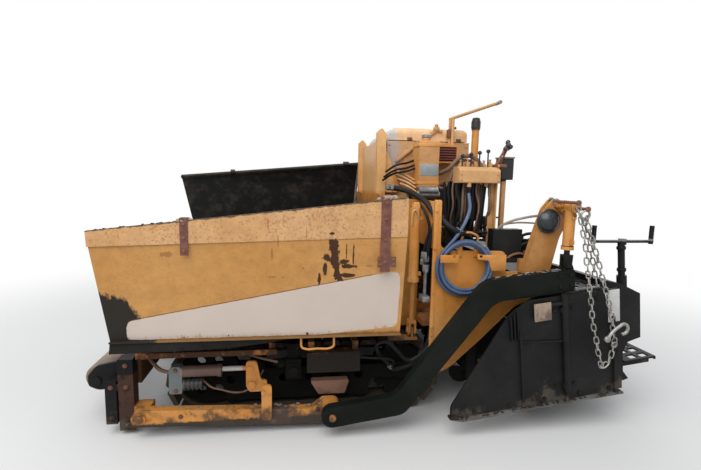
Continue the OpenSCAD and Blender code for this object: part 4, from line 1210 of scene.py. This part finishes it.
chain = {
    "y": 1.3,
    "pitch": 0.044,
    "wire": 0.0047,
    "linkRadius": 0.0128,
    "halfStretch": 0.0125,
    "run": [(-1.121, 1.524), (-1.185, 1.32), (-1.24, 1.06), (-1.29, 0.8), (-1.345, 0.59), (-1.389, 0.462),
            (-1.44, 0.5), (-1.462, 0.64), (-1.425, 0.81), (-1.345, 1.03), (-1.262, 1.255), (-1.204, 1.384),
            (-1.188, 1.482)],
    "second": [(-1.195, 1.43), (-1.236, 1.30), (-1.29, 1.13), (-1.33, 0.98)],
    "hook": [(-1.405, 1.31, 0.66), (-1.43, 1.312, 0.70), (-1.47, 1.313, 0.735), (-1.51, 1.313, 0.755),
             (-1.535, 1.313, 0.735), (-1.53, 1.312, 0.70), (-1.50, 1.311, 0.685)],
    "hookEye": [(0, 0.012), (0.004, 0.02), (0.012, 0.022), (0.02, 0.02), (0.024, 0.012)],
    # x, z and inner end of each pin
    "pins": [(-1.121, 1.528, 1.06), (-1.187, 1.49, 1.19)],
    "pinEnd": 1.318,
}


def ring(big, small, around, across, place=(0, 0, 0), turn=(0, 0, 0)):
    deselect()
    bpy.ops.mesh.primitive_torus_add(major_radius=big, minor_radius=small, major_segments=around,
                                     minor_segments=across, location=place, rotation=turn)
    return bpy.context.object


def linkModel():
    obj = ring(chain["linkRadius"], chain["wire"], 12, 6)
    for side in (1, -1):
        for vertex in obj.data.vertices:
            vertex.select = vertex.co.x * side > 0.001
        for part in list(obj.data.edges) + list(obj.data.polygons):
            part.select = all(obj.data.vertices[v].select for v in part.vertices)
        bpy.ops.object.mode_set(mode="EDIT")
        bpy.ops.transform.translate(value=(chain["halfStretch"] * side, 0, 0))
        bpy.ops.object.mode_set(mode="OBJECT")
    return obj


def hangChain(model, run, y, spread):
    lengths = [math.dist(a, b) for a, b in zip(run, run[1:])]
    count = int(sum(lengths) / chain["pitch"])
    parts = []
    for i in range(count):
        along = (i + 0.5) * chain["pitch"]
        k = 0
        while along > lengths[k]:
            along -= lengths[k]
            k += 1
        a, b = Vector((run[k][0], y, run[k][1])), Vector((run[k + 1][0], y, run[k + 1][1]))
        heading = (b - a).normalized()
        aim = heading.to_track_quat("X", "Y").to_matrix().to_4x4()
        twist = Matrix.Rotation(math.radians(40 + 90 * (i % 2) + random.uniform(-14, 14)), 4, "X")
        wander = Vector((random.uniform(-1, 1) * spread, random.uniform(-1, 1) * 0.003, 0))
        parts.append(copyTo(model, Matrix.Translation(a + heading * along + wander) @ aim @ twist))
    return parts


def makeChains():
    model = linkModel()
    left = hangChain(model, chain["run"], chain["y"], 0.002)
    left += hangChain(model, chain["second"], chain["y"] - 0.03, 0.002)
    drop(model)
    left.append(hose(chain["hook"], 0.011, 10))
    left.append(turned(chain["hookEye"], (-1.402, 1.298, 0.655), (-1.402, 1.322, 0.655), 14))
    left.append(settle(ring(0.018, 0.005, 18, 8, (-1.452, 1.313, 0.618), (math.radians(80), 0, 0))))
    chains = piece("safetyChains", "tractor", "zincChain", bothSides(left), smooth=70)
    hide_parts("safety_chains")
    shackle = settle(ring(0.030, 0.007, 20, 8, (-1.178, 1.302, 1.452), (math.radians(78), 0.3, 0)))
    piece("chainShackles", "tractor", "zincChain", bothSides([shackle]), smooth=70)
    pins = []
    for x, z, inner in chain["pins"]:
        reach = chain["pinEnd"] - inner
        shape = [(0, 0.010), (reach - 0.012, 0.010), (reach - 0.012, 0.017), (reach - 0.002, 0.017),
                 (reach, 0.014)]
        pins.append(turned(shape, (x, inner, z), (x, 1.4, z), 14))
    piece("chainPins", "tractor", "rustySteel", bothSides(pins))


makeChains()
print("chains hung")

# hopper wings: straps' bolts, grab handle, rubber lip, asphalt crust

wingTrim = {
    "handle": [(0.356, 1.192, 0.712), (0.356, 1.2, 0.66), (0.358, 1.202, 0.632), (0.375, 1.203, 0.62),
               (0.455, 1.203, 0.618), (0.535, 1.203, 0.62), (0.552, 1.202, 0.632), (0.555, 1.2, 0.66),
               (0.555, 1.192, 0.712)],
    # the rubber lip under the front corner: x and z
    "skirt": [(1.634, 0.697), (0.50, 0.697), (0.64, 0.684), (0.781, 0.662), (0.95, 0.644), (1.144, 0.634),
              (1.40, 0.63), (1.642, 0.627)],
    "strapBolts": [(1.191, 1.311, 1.24), (1.191, 1.311, 1.31), (1.191, 1.311, 1.385), (0.075, 1.311, 1.17),
                   (0.075, 1.311, 1.3), (0.075, 1.311, 1.42), (0.075, 1.311, 1.51)],
    "footBolts": [(0.025, 1.309, 1.155), (0.025, 1.309, 1.185), (0.112, 1.309, 1.155), (0.112, 1.309, 1.185)],
    "boltScale": 0.7,
    # crumbs: from, to, count, spread, size, flatness
    "crust": [((0.02, 1.285, 1.543), (0.13, 1.285, 1.531), 22, (0.01, 0.018, 0.004), 0.016, 0.7),
              ((1.15, 1.285, 1.409), (1.23, 1.285, 1.400), 12, (0.01, 0.018, 0.003), 0.012, 0.7)],
    "topCrumbs": [((-0.04, 1.283, 1.538), (1.66, 1.283, 1.346), 90, (0.02, 0.01, 0.002), 0.009, 0.6)],
    "leftCrumbs": [((0.0, 1.19, 0.716), (1.55, 1.19, 0.716), 45, (0.02, 0.008, 0.004), 0.011, 0.5),
                   ((0.0, 0.90, 0.668), (1.55, 0.90, 0.668), 60, (0.02, 0.2, 0.0), 0.010, 0.6)],
    "rightCrumbs": [((0.0, 1.19, 0.716), (1.55, 1.19, 0.716), 90, (0.02, 0.012, 0.004), 0.017, 0.6)],
}


def skirt():
    return plate(wingTrim["skirt"], 1.203, 1.209, "y", 0.001)


def dressLeftWing():
    w = wingTrim
    piece("wingHandle", "left_wing", "orangePaint", [hose(w["handle"], 0.007, 8)], smooth=60)
    piece("leftSkirt", "left_wing", "asphaltSteel", [skirt()])
    heads = outward(w["strapBolts"] + w["footBolts"])
    bolts("leftStrapBolts", "left_wing", "rustySteel", heads, mirror=False, scale=w["boltScale"])
    piece("leftWingCrust", "left_wing", "crust", strew(w["crust"]))
    piece("leftWingAsphalt", "left_wing", "asphaltCrumb", strew(w["topCrumbs"] + w["leftCrumbs"]))


def raiseRight(parts):
    hinge = Matrix.Translation((0, raisedWing["hingeY"], raisedWing["hingeZ"]))
    turn = Matrix.Rotation(math.radians(raisedWing["degrees"]), 4, "X")
    lift = mirrorSide @ hinge @ turn @ hinge.inverted()
    raised = [copyTo(p, lift) for p in parts]
    for part in parts:
        drop(part)
    return raised


def dressRightWing():
    w = wingTrim
    shrink = Matrix.Scale(w["boltScale"], 4)
    heads = [copyTo(bolt, pointing(p, d) @ shrink) for p, d in outward(w["strapBolts"])]
    piece("rightStrapBolts", "right_wing", "rustySteel", raiseRight(heads))
    film = strew(w["topCrumbs"] + w["rightCrumbs"])
    piece("rightWingAsphalt", "right_wing", "asphaltCrumb", raiseRight(film))
    piece("rightSkirt", "right_wing", "asphaltSteel", raiseRight([skirt()]))


dressLeftWing()
dressRightWing()
print("wings dressed")

# hopper: crumbs along the floor's edges and against the bulkhead


def dressHopper():
    rows = []
    for side in (1, -1):
        rows.append(((0.0, 0.43 * side, 0.602), (1.5, 0.43 * side, 0.602), 60, (0.02, 0.03, 0), 0.013, 0.5))
        rows.append(((-0.045, 0.40 * side, 0.60), (-0.045, 0.66 * side, 0.60), 24,
                     (0.02, 0.02, 0.0), 0.018, 0.5))
    piece("hopperCrumbs", "tractor", "asphaltCrumb", strew(rows))


dressHopper()

# hood and engine enclosure: brace, catches, hinge bolts

hoodTrim = {
    "brace": [(-0.186, 1.800), (-0.196, 1.822), (-0.380, 1.972), (-0.470, 2.040), (-0.500, 2.062),
              (-0.520, 2.058), (-0.500, 2.028), (-0.388, 1.948), (-0.205, 1.796)],
    # low corner, high corner and edge of each block
    "feet": [((-0.30, 0.399, 1.868), (-0.262, 0.409, 1.892), 0.002),
             ((-0.385, 0.399, 1.93), (-0.35, 0.409, 1.952), 0.002)],
    "knob": [((-0.535, 0.402, 2.044), (-0.485, 0.424, 2.076), 0.008),
             ((-0.56, 0.404, 2.036), (-0.53, 0.420, 2.056), 0.005)],
    "knobShape": [(0, 0.010), (0.006, 0.014), (0.020, 0.014), (0.024, 0.010)],
    "catches": (-0.70, -0.30),
    "boltColumns": (-0.765, -0.140),
    "boltRows": (1.22, 1.45, 1.70, 1.93),
}


def dressHood():
    t = hoodTrim
    brace = plate(t["brace"], 0.407, 0.417, "y", 0.002)
    piece("hoodBrace", "tractor", "paleOrange", [brace] + blocks(t["feet"]))
    knob = blocks(t["knob"])
    knob.append(turned(t["knobShape"], (-0.51, 0.412, 2.072), (-0.50, 0.412, 3), 12))
    piece("braceHead", "tractor", "paleOrange", knob)
    catches = []
    for x in t["catches"]:
        catches.append(block((x - 0.02, 0.399, 1.966), (x + 0.02, 0.405, 1.99), 0.0015))
        catches.append(rod((x, 0.404, 1.972), (x, 0.404, 1.986), 0.005, 10))
    piece("hoodCatches", "engine_hood", "rustySteel", bothSides(catches))
    clamp = [block((-0.637, 0.424, 1.99), (-0.588, 0.458, 2.055), 0.004),
             rod((-0.60, 0.44, 2.05), (-0.66, 0.44, 2.07), 0.01, 12)]
    piece("railClamp", "tractor", "rustySteel", clamp)
    heads = outward([(x, 0.400, z) for x in t["boltColumns"] for z in t["boltRows"]])
    bolts("enclosureBolts", "tractor", "paleOrange", heads, scale=0.7)


dressHood()
print("hopper and hood dressed")

# consoles: levers, valves and the trim on the box

consoleTrim = {
    # x and y at the foot, lean and height of each lever
    "levers": [(-0.812, 0.85, 0.055, 0.10), (-0.812, 0.83, 0.085, 0.13), (-0.812, 0.81, 0.11, 0.12),
               (-0.84, 0.80, 0.07, 0.15), (-0.86, 0.79, 0.06, 0.11)],
    "knobShape": [(0, 0.006), (0.006, 0.013), (0.018, 0.016), (0.030, 0.013), (0.036, 0.005)],
    "link": [(-0.805, 0.84, 1.765), (-0.86, 0.80, 1.80), (-0.90, 0.74, 1.822), (-0.945, 0.70, 1.835)],
    "valves": (-0.56, -0.61, -0.67, -0.73, -0.775),
    "valveShape": [(0, 0.010), (0.012, 0.010), (0.013, 0.007), (0.022, 0.007), (0.023, 0.010),
                   (0.030, 0.009)],
}


def dressConsoles():
    t = consoleTrim
    knobs = []
    sticks = []
    for x, y, lean, tall in t["levers"]:
        top = (x - lean, y - 0.02, 1.77 + tall)
        sticks.append(hose([(x, y, 1.762), (x - lean * 0.3, y, 1.762 + tall * 0.45), top], 0.006, 8))
        knobs.append(turned(t["knobShape"], top, Vector(top) + Vector((-lean, 0, tall * 0.8)), 12))
    sticks.append(block((-0.875, 0.78, 1.752), (-0.80, 0.87, 1.775), 0.004))
    sticks.append(hose(t["link"], 0.008, 8))
    piece("leverSticks", "tractor", "rustySteel", sticks)
    piece("leverKnobs", "tractor", "knobBlack", knobs)
    piece("boxTrim", "tractor", "dryMud", [block((-1.002, 0.634, 1.824), (-0.902, 0.746, 1.836), 0.003)])
    valves = []
    for i, x in enumerate(t["valves"]):
        top = 0.022 + 0.008 * (i % 3)
        valves.append(block((x - 0.016, 0.796, 1.748), (x + 0.014, 0.826, 1.752 + top), 0.004))
        valves.append(turned(t["valveShape"], (x, 0.812, 1.748 + top), (x, 0.812, 3), 6))
    piece("consoleValves", "tractor", "paleOrange", bothSides(valves))
    heads = outward([(x, 0.900, z) for x in (-0.535, -0.80) for z in (1.66, 1.70)])
    heads += outward([(-0.797, 0.823, z) for z in (1.17, 1.58)])
    bolts("consoleBolts", "tractor", "paleOrange", heads, scale=0.6)


# tank: blank plate, filler cap, canister and straps

tankTrim = {
    "plate": (-0.436, -0.302, 1.688, 1.772, 0.006),
    "filler": [(0, 0.031), (0.004, 0.034), (0.022, 0.034), (0.026, 0.028), (0.030, 0.012)],
    "canister": [(0, 0.022), (0.006, 0.0285), (0.020, 0.0285), (0.024, 0.026), (0.118, 0.026),
                 (0.122, 0.0285),
                 (0.136, 0.0285), (0.142, 0.02)],
    "straps": (1.625, 1.895),
}


def dressTank():
    t = tankTrim
    piece("tankPlate", "tractor", "tankBlank", [plate(roundedBox(*t["plate"]), 0.6995, 0.7025, "y", 0.0008)])
    filler = turned(t["filler"], (-0.366, 0.62, 1.962), (-0.366, 0.62, 2.1), 20)
    canister = turned(t["canister"], (-0.295, 0.712, 1.585), (-0.5, 0.712, 1.585), 20)
    piece("tankFittings", "tractor", "greySteel", [filler, canister])
    straps = [block((-0.448, 0.538, z), (-0.286, 0.7025, z + 0.022), 0.002) for z in t["straps"]]
    piece("tankStraps", "tractor", "orangePaint", straps)


dressConsoles()
dressTank()
print("consoles and tank dressed")

# side plates, open above the coil, with the coil's hangers

sidePlates = {
    # x, z and corner radius
    "outline": [(-0.318, 1.524, 0.004), (-0.368, 1.524, 0.012), (-0.372, 1.215, 0.03), (-0.43, 1.188, 0.03),
                (-0.835, 1.182, 0.04), (-0.835, 1.04, 0.02), (-1.12, 1.04, 0), (-1.12, 0.872, 0),
                (-1.06, 0.852, 0.09), (-0.925, 0.79, 0.16), (-0.69, 0.562, 0.3), (-0.477, 0.37, 0.16),
                (-0.395, 0.33, 0.04), (-0.318, 0.42, 0)],
    "doubler": [(-0.318, 1.5, 0), (-0.345, 1.5, 0), (-0.345, 0.47, 0.03), (-0.455, 0.395, 0),
                (-0.43, 0.375, 0),
                (-0.318, 0.44, 0.02)],
    "inner": [(-0.09, 0.6, 0), (-0.09, 1.515, 0), (-0.327, 1.517, 0), (-0.327, 0.56, 0), (-0.2, 0.56, 0)],
    "rearTab": [(-0.6, 1.17, 0), (-0.8, 1.17, 0), (-0.8, 1.062, 0), (-0.7, 1.062, 0), (-0.68, 1.13, 0.02),
                (-0.6, 1.14, 0)],
}


def roundCorners(points, steps=5):
    outline = []
    for i, (x, z, r) in enumerate(points):
        corner = Vector((x, z))
        if not r:
            outline.append(tuple(corner))
            continue
        before = Vector(points[i - 1][:2]) - corner
        after = Vector(points[(i + 1) % len(points)][:2]) - corner
        reach = min(r / math.tan(before.angle(after) / 2), before.length * 0.48, after.length * 0.48)
        start, end = corner + before.normalized() * reach, corner + after.normalized() * reach
        for k in range(steps + 1):
            t = k / steps
            outline.append(tuple(start * (1 - t) ** 2 + corner * 2 * t * (1 - t) + end * t * t))
    return outline


def makeSidePlates():
    s = {name: roundCorners(points) for name, points in sidePlates.items()}
    each = [plate(s["outline"], 0.99, 1.0), plate(s["doubler"], 1.0, 1.006), plate(s["inner"], 0.65, 0.66),
            block((-0.327, 0.66, 1.2), (-0.318, 1.0, 1.515))]
    tabs = [block((x, 1.0, 1.15), (x + 0.025, 1.08, 1.17)) for x in (-0.635, -0.45)]
    tabs.append(block((-0.47, 1.073, 1.118), (-0.345, 1.08, 1.17)))
    tabs.append(plate(s["rearTab"], 1.073, 1.08))
    plates = piece("sidePlates", "tractor", "orangePaint", bothSides(each) + tabs)
    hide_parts("side_plates")


makeSidePlates()

# operator deck: lamp pipes, loose hose ends, a rusty valve and black boxes

deckTrim = {
    "pipes": [
        ([(-0.80, 0.93, 1.318), (-0.81, 0.95, 1.345), (-0.87, 0.98, 1.385), (-0.95, 1.0, 1.41),
          (-1.03, 1.01, 1.425), (-1.105, 1.022, 1.43)], 0.009, 8),
        ([(-0.82, 0.90, 1.318), (-0.84, 0.92, 1.35), (-0.90, 0.95, 1.37), (-0.99, 0.97, 1.375),
          (-1.07, 1.0, 1.37), (-1.11, 1.022, 1.36)], 0.006, 8),
    ],
    "hoses": [
        ([(-0.97, 0.90, 1.25), (-1.0, 0.905, 1.275), (-1.04, 0.92, 1.293), (-1.09, 0.96, 1.29),
          (-1.13, 0.99, 1.25), (-1.15, 1.022, 1.2)], 0.011, 8),
        ([(-0.97, 0.92, 1.19), (-1.02, 0.93, 1.225), (-1.07, 0.95, 1.22), (-1.09, 0.96, 1.16),
          (-1.085, 0.95, 1.10)], 0.010, 8),
        ([(-0.97, 0.89, 1.16), (-1.0, 0.88, 1.17), (-1.03, 0.89, 1.15), (-1.04, 0.89, 1.10)], 0.008, 8),
    ],
    "valve": [((-1.05, 0.93, 1.128), (-1.0, 0.985, 1.175), 0.006),
              ((-1.035, 0.945, 1.17), (-1.015, 0.97, 1.20), 0.004)],
    "valvePipe": [(-1.0, 0.96, 1.15), (-0.96, 0.965, 1.16), (-0.90, 0.97, 1.15), (-0.86, 0.975, 1.125)],
    "drum": [(0, 0.030), (0.008, 0.040), (0.055, 0.040), (0.06, 0.030), (0.085, 0.028)],
    "bracket": [(-1.088, 1.128), (-1.088, 1.215), (-1.05, 1.235), (-0.99, 1.165), (-0.985, 1.128)],
    "boxes": [((-1.085, 0.835, 1.128), (-1.012, 0.90, 1.225), 0.008),
              ((-1.07, 0.85, 1.22), (-1.03, 0.885, 1.25), 0.005),
              ((-1.088, 0.60, 1.128), (-1.045, 0.79, 1.262), 0.010)],
    "stud": [(0, 0.012), (0.012, 0.012), (0.014, 0.008), (0.03, 0.008)],
}


def dressDeck():
    t = deckTrim
    piece("deckPipes", "tractor", "dryMud", hoses(t["pipes"]), smooth=60)
    piece("deckHoses", "tractor", "hoseRubber", hoses(t["hoses"]), smooth=60)
    rusty = blocks(t["valve"])
    rusty.append(rod((-1.025, 0.957, 1.195), (-1.06, 0.957, 1.225), 0.006, 10))
    rusty.append(hose(t["valvePipe"], 0.009))
    rusty.append(turned(t["drum"], (-0.985, 0.80, 1.172), (-2, 0.80, 1.172), 20))
    rusty.append(plate(t["bracket"], 0.70, 0.708))
    piece("deckValve", "tractor", "rustySteel", bothSides(rusty))
    black = blocks(t["boxes"])
    black += [turned(t["stud"], (x, 0.8675, 1.223), (x, 0.8675, 3), 6) for x in (-1.022, -1.078)]
    piece("deckBlocks", "tractor", "asphaltSteel", bothSides(black))


dressDeck()

# lift posts and lamps: hose hoop, bolts, pivot nuts, crust and the lamps' rims

postTrim = {
    "hoop": [(-0.50, 1.004, 1.225), (-0.512, 1.012, 1.27), (-0.525, 1.018, 1.302), (-0.55, 1.02, 1.312),
             (-0.595, 1.02, 1.300), (-0.618, 1.018, 1.285), (-0.624, 1.012, 1.26), (-0.62, 1.004, 1.225)],
    "hoopFeet": [((-0.52, 1.0, 1.145), (-0.485, 1.012, 1.24), 0.003),
                 ((-0.638, 1.0, 1.145), (-0.603, 1.012, 1.24), 0.003)],
    # x, z, radius and y of each pivot nut
    "nuts": [(-1.187, 1.49, 0.028, 1.108), (-1.135, 1.51, 0.017, 1.104), (-1.249, 1.484, 0.016, 1.098)],
    "crust": [((-1.12, 1.05, 1.541), (-1.28, 1.05, 1.512), 26, (0.01, 0.02, 0.004), 0.014, 0.6)],
    "lamp": (-1.074, 1.397),
    "lampRim": [(0, 0.079), (0.003, 0.0815), (0.010, 0.0815), (0.013, 0.078)],
    "lampSocket": [(0, 0.02), (0.03, 0.02), (0.034, 0.026), (0.048, 0.026)],
}


def dressPosts():
    t = postTrim
    hoop = [hose(t["hoop"], 0.008, 8)] + blocks(t["hoopFeet"])
    piece("hoseHoop", "tractor", "orangePaint", hoop, smooth=60)
    heads = outward([(-0.331, 1.006, z) for z in (0.52, 0.66, 0.9, 1.2, 1.45)])
    heads += outward([(x, 1.000, 1.02) for x in (-0.86, -1.0, -1.09)])
    heads += outward([(x, 1.055, 1.060) for x in (-1.09, -0.95)], (0, 0, 1))
    bolts("sideBolts", "tractor", "orangePaint", heads, scale=0.8)
    nuts = []
    for x, z, r, y in t["nuts"]:
        shape = [(-0.004, r * 1.25), (0.004, r * 1.25), (0.004, r), (0.016, r), (0.019, r * 0.8)]
        nuts.append(turned(shape, (x, y, z), (x, y + 1, z), 6))
    piece("postNuts", "tractor", "orangePaint", bothSides(nuts))
    piece("postCrust", "tractor", "crust", strew(t["crust"]))


def dressLamps():
    # the shell is the node itself
    x, z = postTrim["lamp"]
    rim = turned(postTrim["lampRim"], (x, 1.088, z), (x, 2, z), 36)
    socket = turned(postTrim["lampSocket"], (x, 1.036, z), (x, 2, z), 18)
    piece("lampRims", "tractor", "lampShell", bothSides([rim, socket]))


dressPosts()
dressLamps()
print("side plates, deck, posts and lamps dressed")

# rams: glands, port bolts and the wing ram's pipe

ramTrim = {
    "gland": [(0, 0.030), (0.004, 0.038), (0.022, 0.038), (0.028, 0.030)],
    "pipe": [(-0.243, 0.902, 1.372), (-0.238, 0.915, 1.40), (-0.226, 0.922, 1.438), (-0.210, 0.924, 1.452),
             (-0.196, 0.922, 1.438), (-0.192, 0.918, 1.40), (-0.192, 0.915, 1.35)],
}


def dressRams():
    glands = [turned(ramTrim["gland"], (-1.184, y, 1.245), (-1.181, y, 1.0), 22) for y in (1.15, -1.15)]
    piece("liftGlands", "lift_ram", "blackPaint", glands)
    bolts("liftPortBolts", "lift_ram", "rustySteel", outward([(-1.187, 1.196, 1.445)]), scale=0.8)
    piece("ramPipe", "left_ram", "paleOrange", [hose(ramTrim["pipe"], 0.0065, 8)], smooth=60)


dressRams()
print("rams dressed")

# screed: blank plates, slots and rods, modelled level and then lifted with it

screedTrim = {
    "gateY": 1.227,
    "rearPlate": (-1.608, -1.524, 0.518, 0.738, 0.004),
    "gatePlate": (-1.107, -0.989, 0.606, 0.724, 0.004),
    # x and top of each upright bar
    "bars": [(-0.838, 0.655), (-0.862, 0.675), (-0.884, 0.69)],
    "ring": [(0, 0.026), (0.004, 0.029), (0.020, 0.029), (0.024, 0.026)],
    "rodEyes": [((-1.340, 1.178, 0.744), (-1.318, 1.198, 0.772), 0.002),
                ((-1.492, 1.178, 0.744), (-1.470, 1.198, 0.772), 0.002)],
    "crumbs": [((-0.47, 1.235, 0.026), (-1.6, 1.235, 0.026), 60, (0.01, 0.012, 0.002), 0.012, 0.5),
               ((-1.30, 0.9, 0.75), (-1.52, 0.9, 0.75), 60, (0.02, 0.28, 0), 0.012, 0.5),
               ((-1.5, 1.20, 0.748), (-1.25, 1.20, 0.748), 20, (0.02, 0.01, 0.0), 0.014, 0.6)],
    # pale crumbs along the tow arm's top edge: real dust, and with it a painted highlight along that edge
    "dustAndHighlight": [((-0.80, 1.15, 0.899), (-1.30, 1.15, 0.899), 40, (0.02, 0.025, 0.0), 0.010, 0.25)],
}


def gateBars(y):
    bars = [block((x, y, 0.50), (x + 0.008, y + 0.022, top), 0.0015) for x, top in screedTrim["bars"]]
    bars.append(rod((-0.901, y + 0.012, 0.478), (-1.187, y + 0.012, 0.444), 0.005, 10))
    bars += [block((x, y, 0.655), (x + 0.014, y + 0.026, 0.675), 0.002) for x in (-1.10, -1.01)]
    return bars


def screedHeads(gateY):
    heads = outward([(x, gateY, 0.06) for x in (-0.56, -0.8, -1.05, -1.3, -1.52)])
    heads += outward([(x, gateY, z) for x in (-1.27, -1.14) for z in (0.135, 0.655)])
    heads += outward([(x, gateY, z) for x, z in ((-1.45, 0.70), (-1.45, 0.30), (-1.58, 0.30))])
    heads += outward([(x, 1.18, z) for x in (-1.30, -1.22) for z in (0.79, 0.86)])
    heads += outward([(-1.849, y, z) for y in (0.2, 0.5, 0.8, 1.05) for z in (0.38, 0.60)], (-1, 0, 0))
    return heads


def dressScreed():
    t = screedTrim
    y = t["gateY"]
    blank = plate(roundedBox(*t["rearPlate"]), y - 0.0005, y + 0.0035, "y", 0.0008)
    piece("rearPlate", "screed", "blankPlate", [blank], tilted=True)
    label = plate(roundedBox(*t["gatePlate"]), y + 0.0245, y + 0.0275, "y", 0.0006)
    piece("gatePlate", "screed", "tanPlate", [label], tilted=True)
    piece("gateBars", "screed", "blackPaint", bothSides(gateBars(y - 0.001)), tilted=True)
    rods = [rod((-1.325, 1.188, 0.757), (-1.486, 1.188, 0.757), 0.0085, 14)] + blocks(t["rodEyes"])
    piece("depthRods", "screed", "greySteel", bothSides(rods), tilted=True)
    tail = rod((-1.846, 1.122, 0.36), (-1.846, 1.122, 0.63), 0.007, 12)
    piece("tailRods", "screed", "greySteel", bothSides([tail]), tilted=True)
    bolts("screedBolts", "screed", "blackPaint", screedHeads(y), tilted=True)
    rings = [turned(t["ring"], (-1.767, 1.06, z), (-1.767, 1.06, 2), 20) for z in (0.80, 0.955)]
    piece("postRings", "screed", "blackPaint", bothSides(rings), tilted=True)
    piece("screedCrumbs", "screed", "asphaltCrumb", strew(t["crumbs"]), tilted=True)
    piece("armDustAndHighlight", "screed", "dryMud", strew(t["dustAndHighlight"]), tilted=True)


dressScreed()
print("screed dressed")

# under the hopper: castings, pipes, guard bolts and mud

underTrim = {
    "pump": [(0, 0.03), (0.006, 0.048), (0.05, 0.052), (0.056, 0.035), (0.075, 0.035), (0.08, 0.022)],
    "spigot": [(0, 0.022), (0.01, 0.03), (0.05, 0.03), (0.055, 0.02), (0.08, 0.02)],
    "pipes": [
        ([(1.19, 0.93, 0.322), (1.13, 0.955, 0.28), (1.065, 0.96, 0.262), (0.98, 0.955, 0.235),
          (0.90, 0.945, 0.245), (0.84, 0.93, 0.30), (0.80, 0.90, 0.36)], 0.0065, 8),
        ([(0.66, 0.90, 0.40), (0.76, 0.93, 0.44), (0.86, 0.93, 0.47), (0.92, 0.90, 0.482),
          (0.96, 0.87, 0.484)], 0.009, 8),
        ([(1.39, 0.95, 0.39), (1.45, 0.93, 0.40), (1.50, 0.90, 0.43), (1.54, 0.88, 0.47)], 0.012, 8),
    ],
    "mud": [((1.62, 0.94, 0.035), (1.62, 0.94, 0.1), 10, (0.03, 0.03, 0), 0.02, 0.7),
            ((0.5, 1.03, 0.165), (1.5, 1.03, 0.19), 40, (0.02, 0.022, 0.0), 0.011, 0.35),
            ((0.72, 0.93, 0.502), (1.56, 0.93, 0.502), 50, (0.02, 0.02, 0), 0.012, 0.5)],
}


def frameHeads():
    heads = outward([(1.645, 0.985, z) for z in (0.10, 0.32, 0.46)])
    heads += outward([(1.736, 0.985, z) for z in (0.12, 0.32)])
    heads += outward([(x, 0.960, 0.511) for x in (0.80, 1.05, 1.30, 1.52)])
    heads += outward([(x, 1.060, 0.145) for x in (0.44, 1.30)])
    heads += outward([(1.345, 0.985, z) for z in (0.28, 0.415)])
    return heads


def dressUnderside():
    t = underTrim
    cast = [turned(t["pump"], (0.60, 0.885, 0.36), (0.60, 1.2, 0.36), 18),
            block((0.545, 0.86, 0.29), (0.655, 0.925, 0.435), 0.014),
            turned(t["spigot"], (0.655, 0.9, 0.40), (1.0, 0.9, 0.43), 14),
            block((0.56, 0.84, 0.42), (0.64, 0.90, 0.535), 0.006)]
    piece("valveCasting", "tractor", "asphaltSteel", bothSides(cast))
    piece("motorPipes", "tractor", "brownHose", bothSides(hoses(t["pipes"])), smooth=60)
    bolts("frameBolts", "tractor", "rustySteel", frameHeads())
    piece("frameMud", "tractor", "dryMud", bothSides(strew(t["mud"])))


dressUnderside()

for spare in [bolt] + lumps:
    drop(spare)
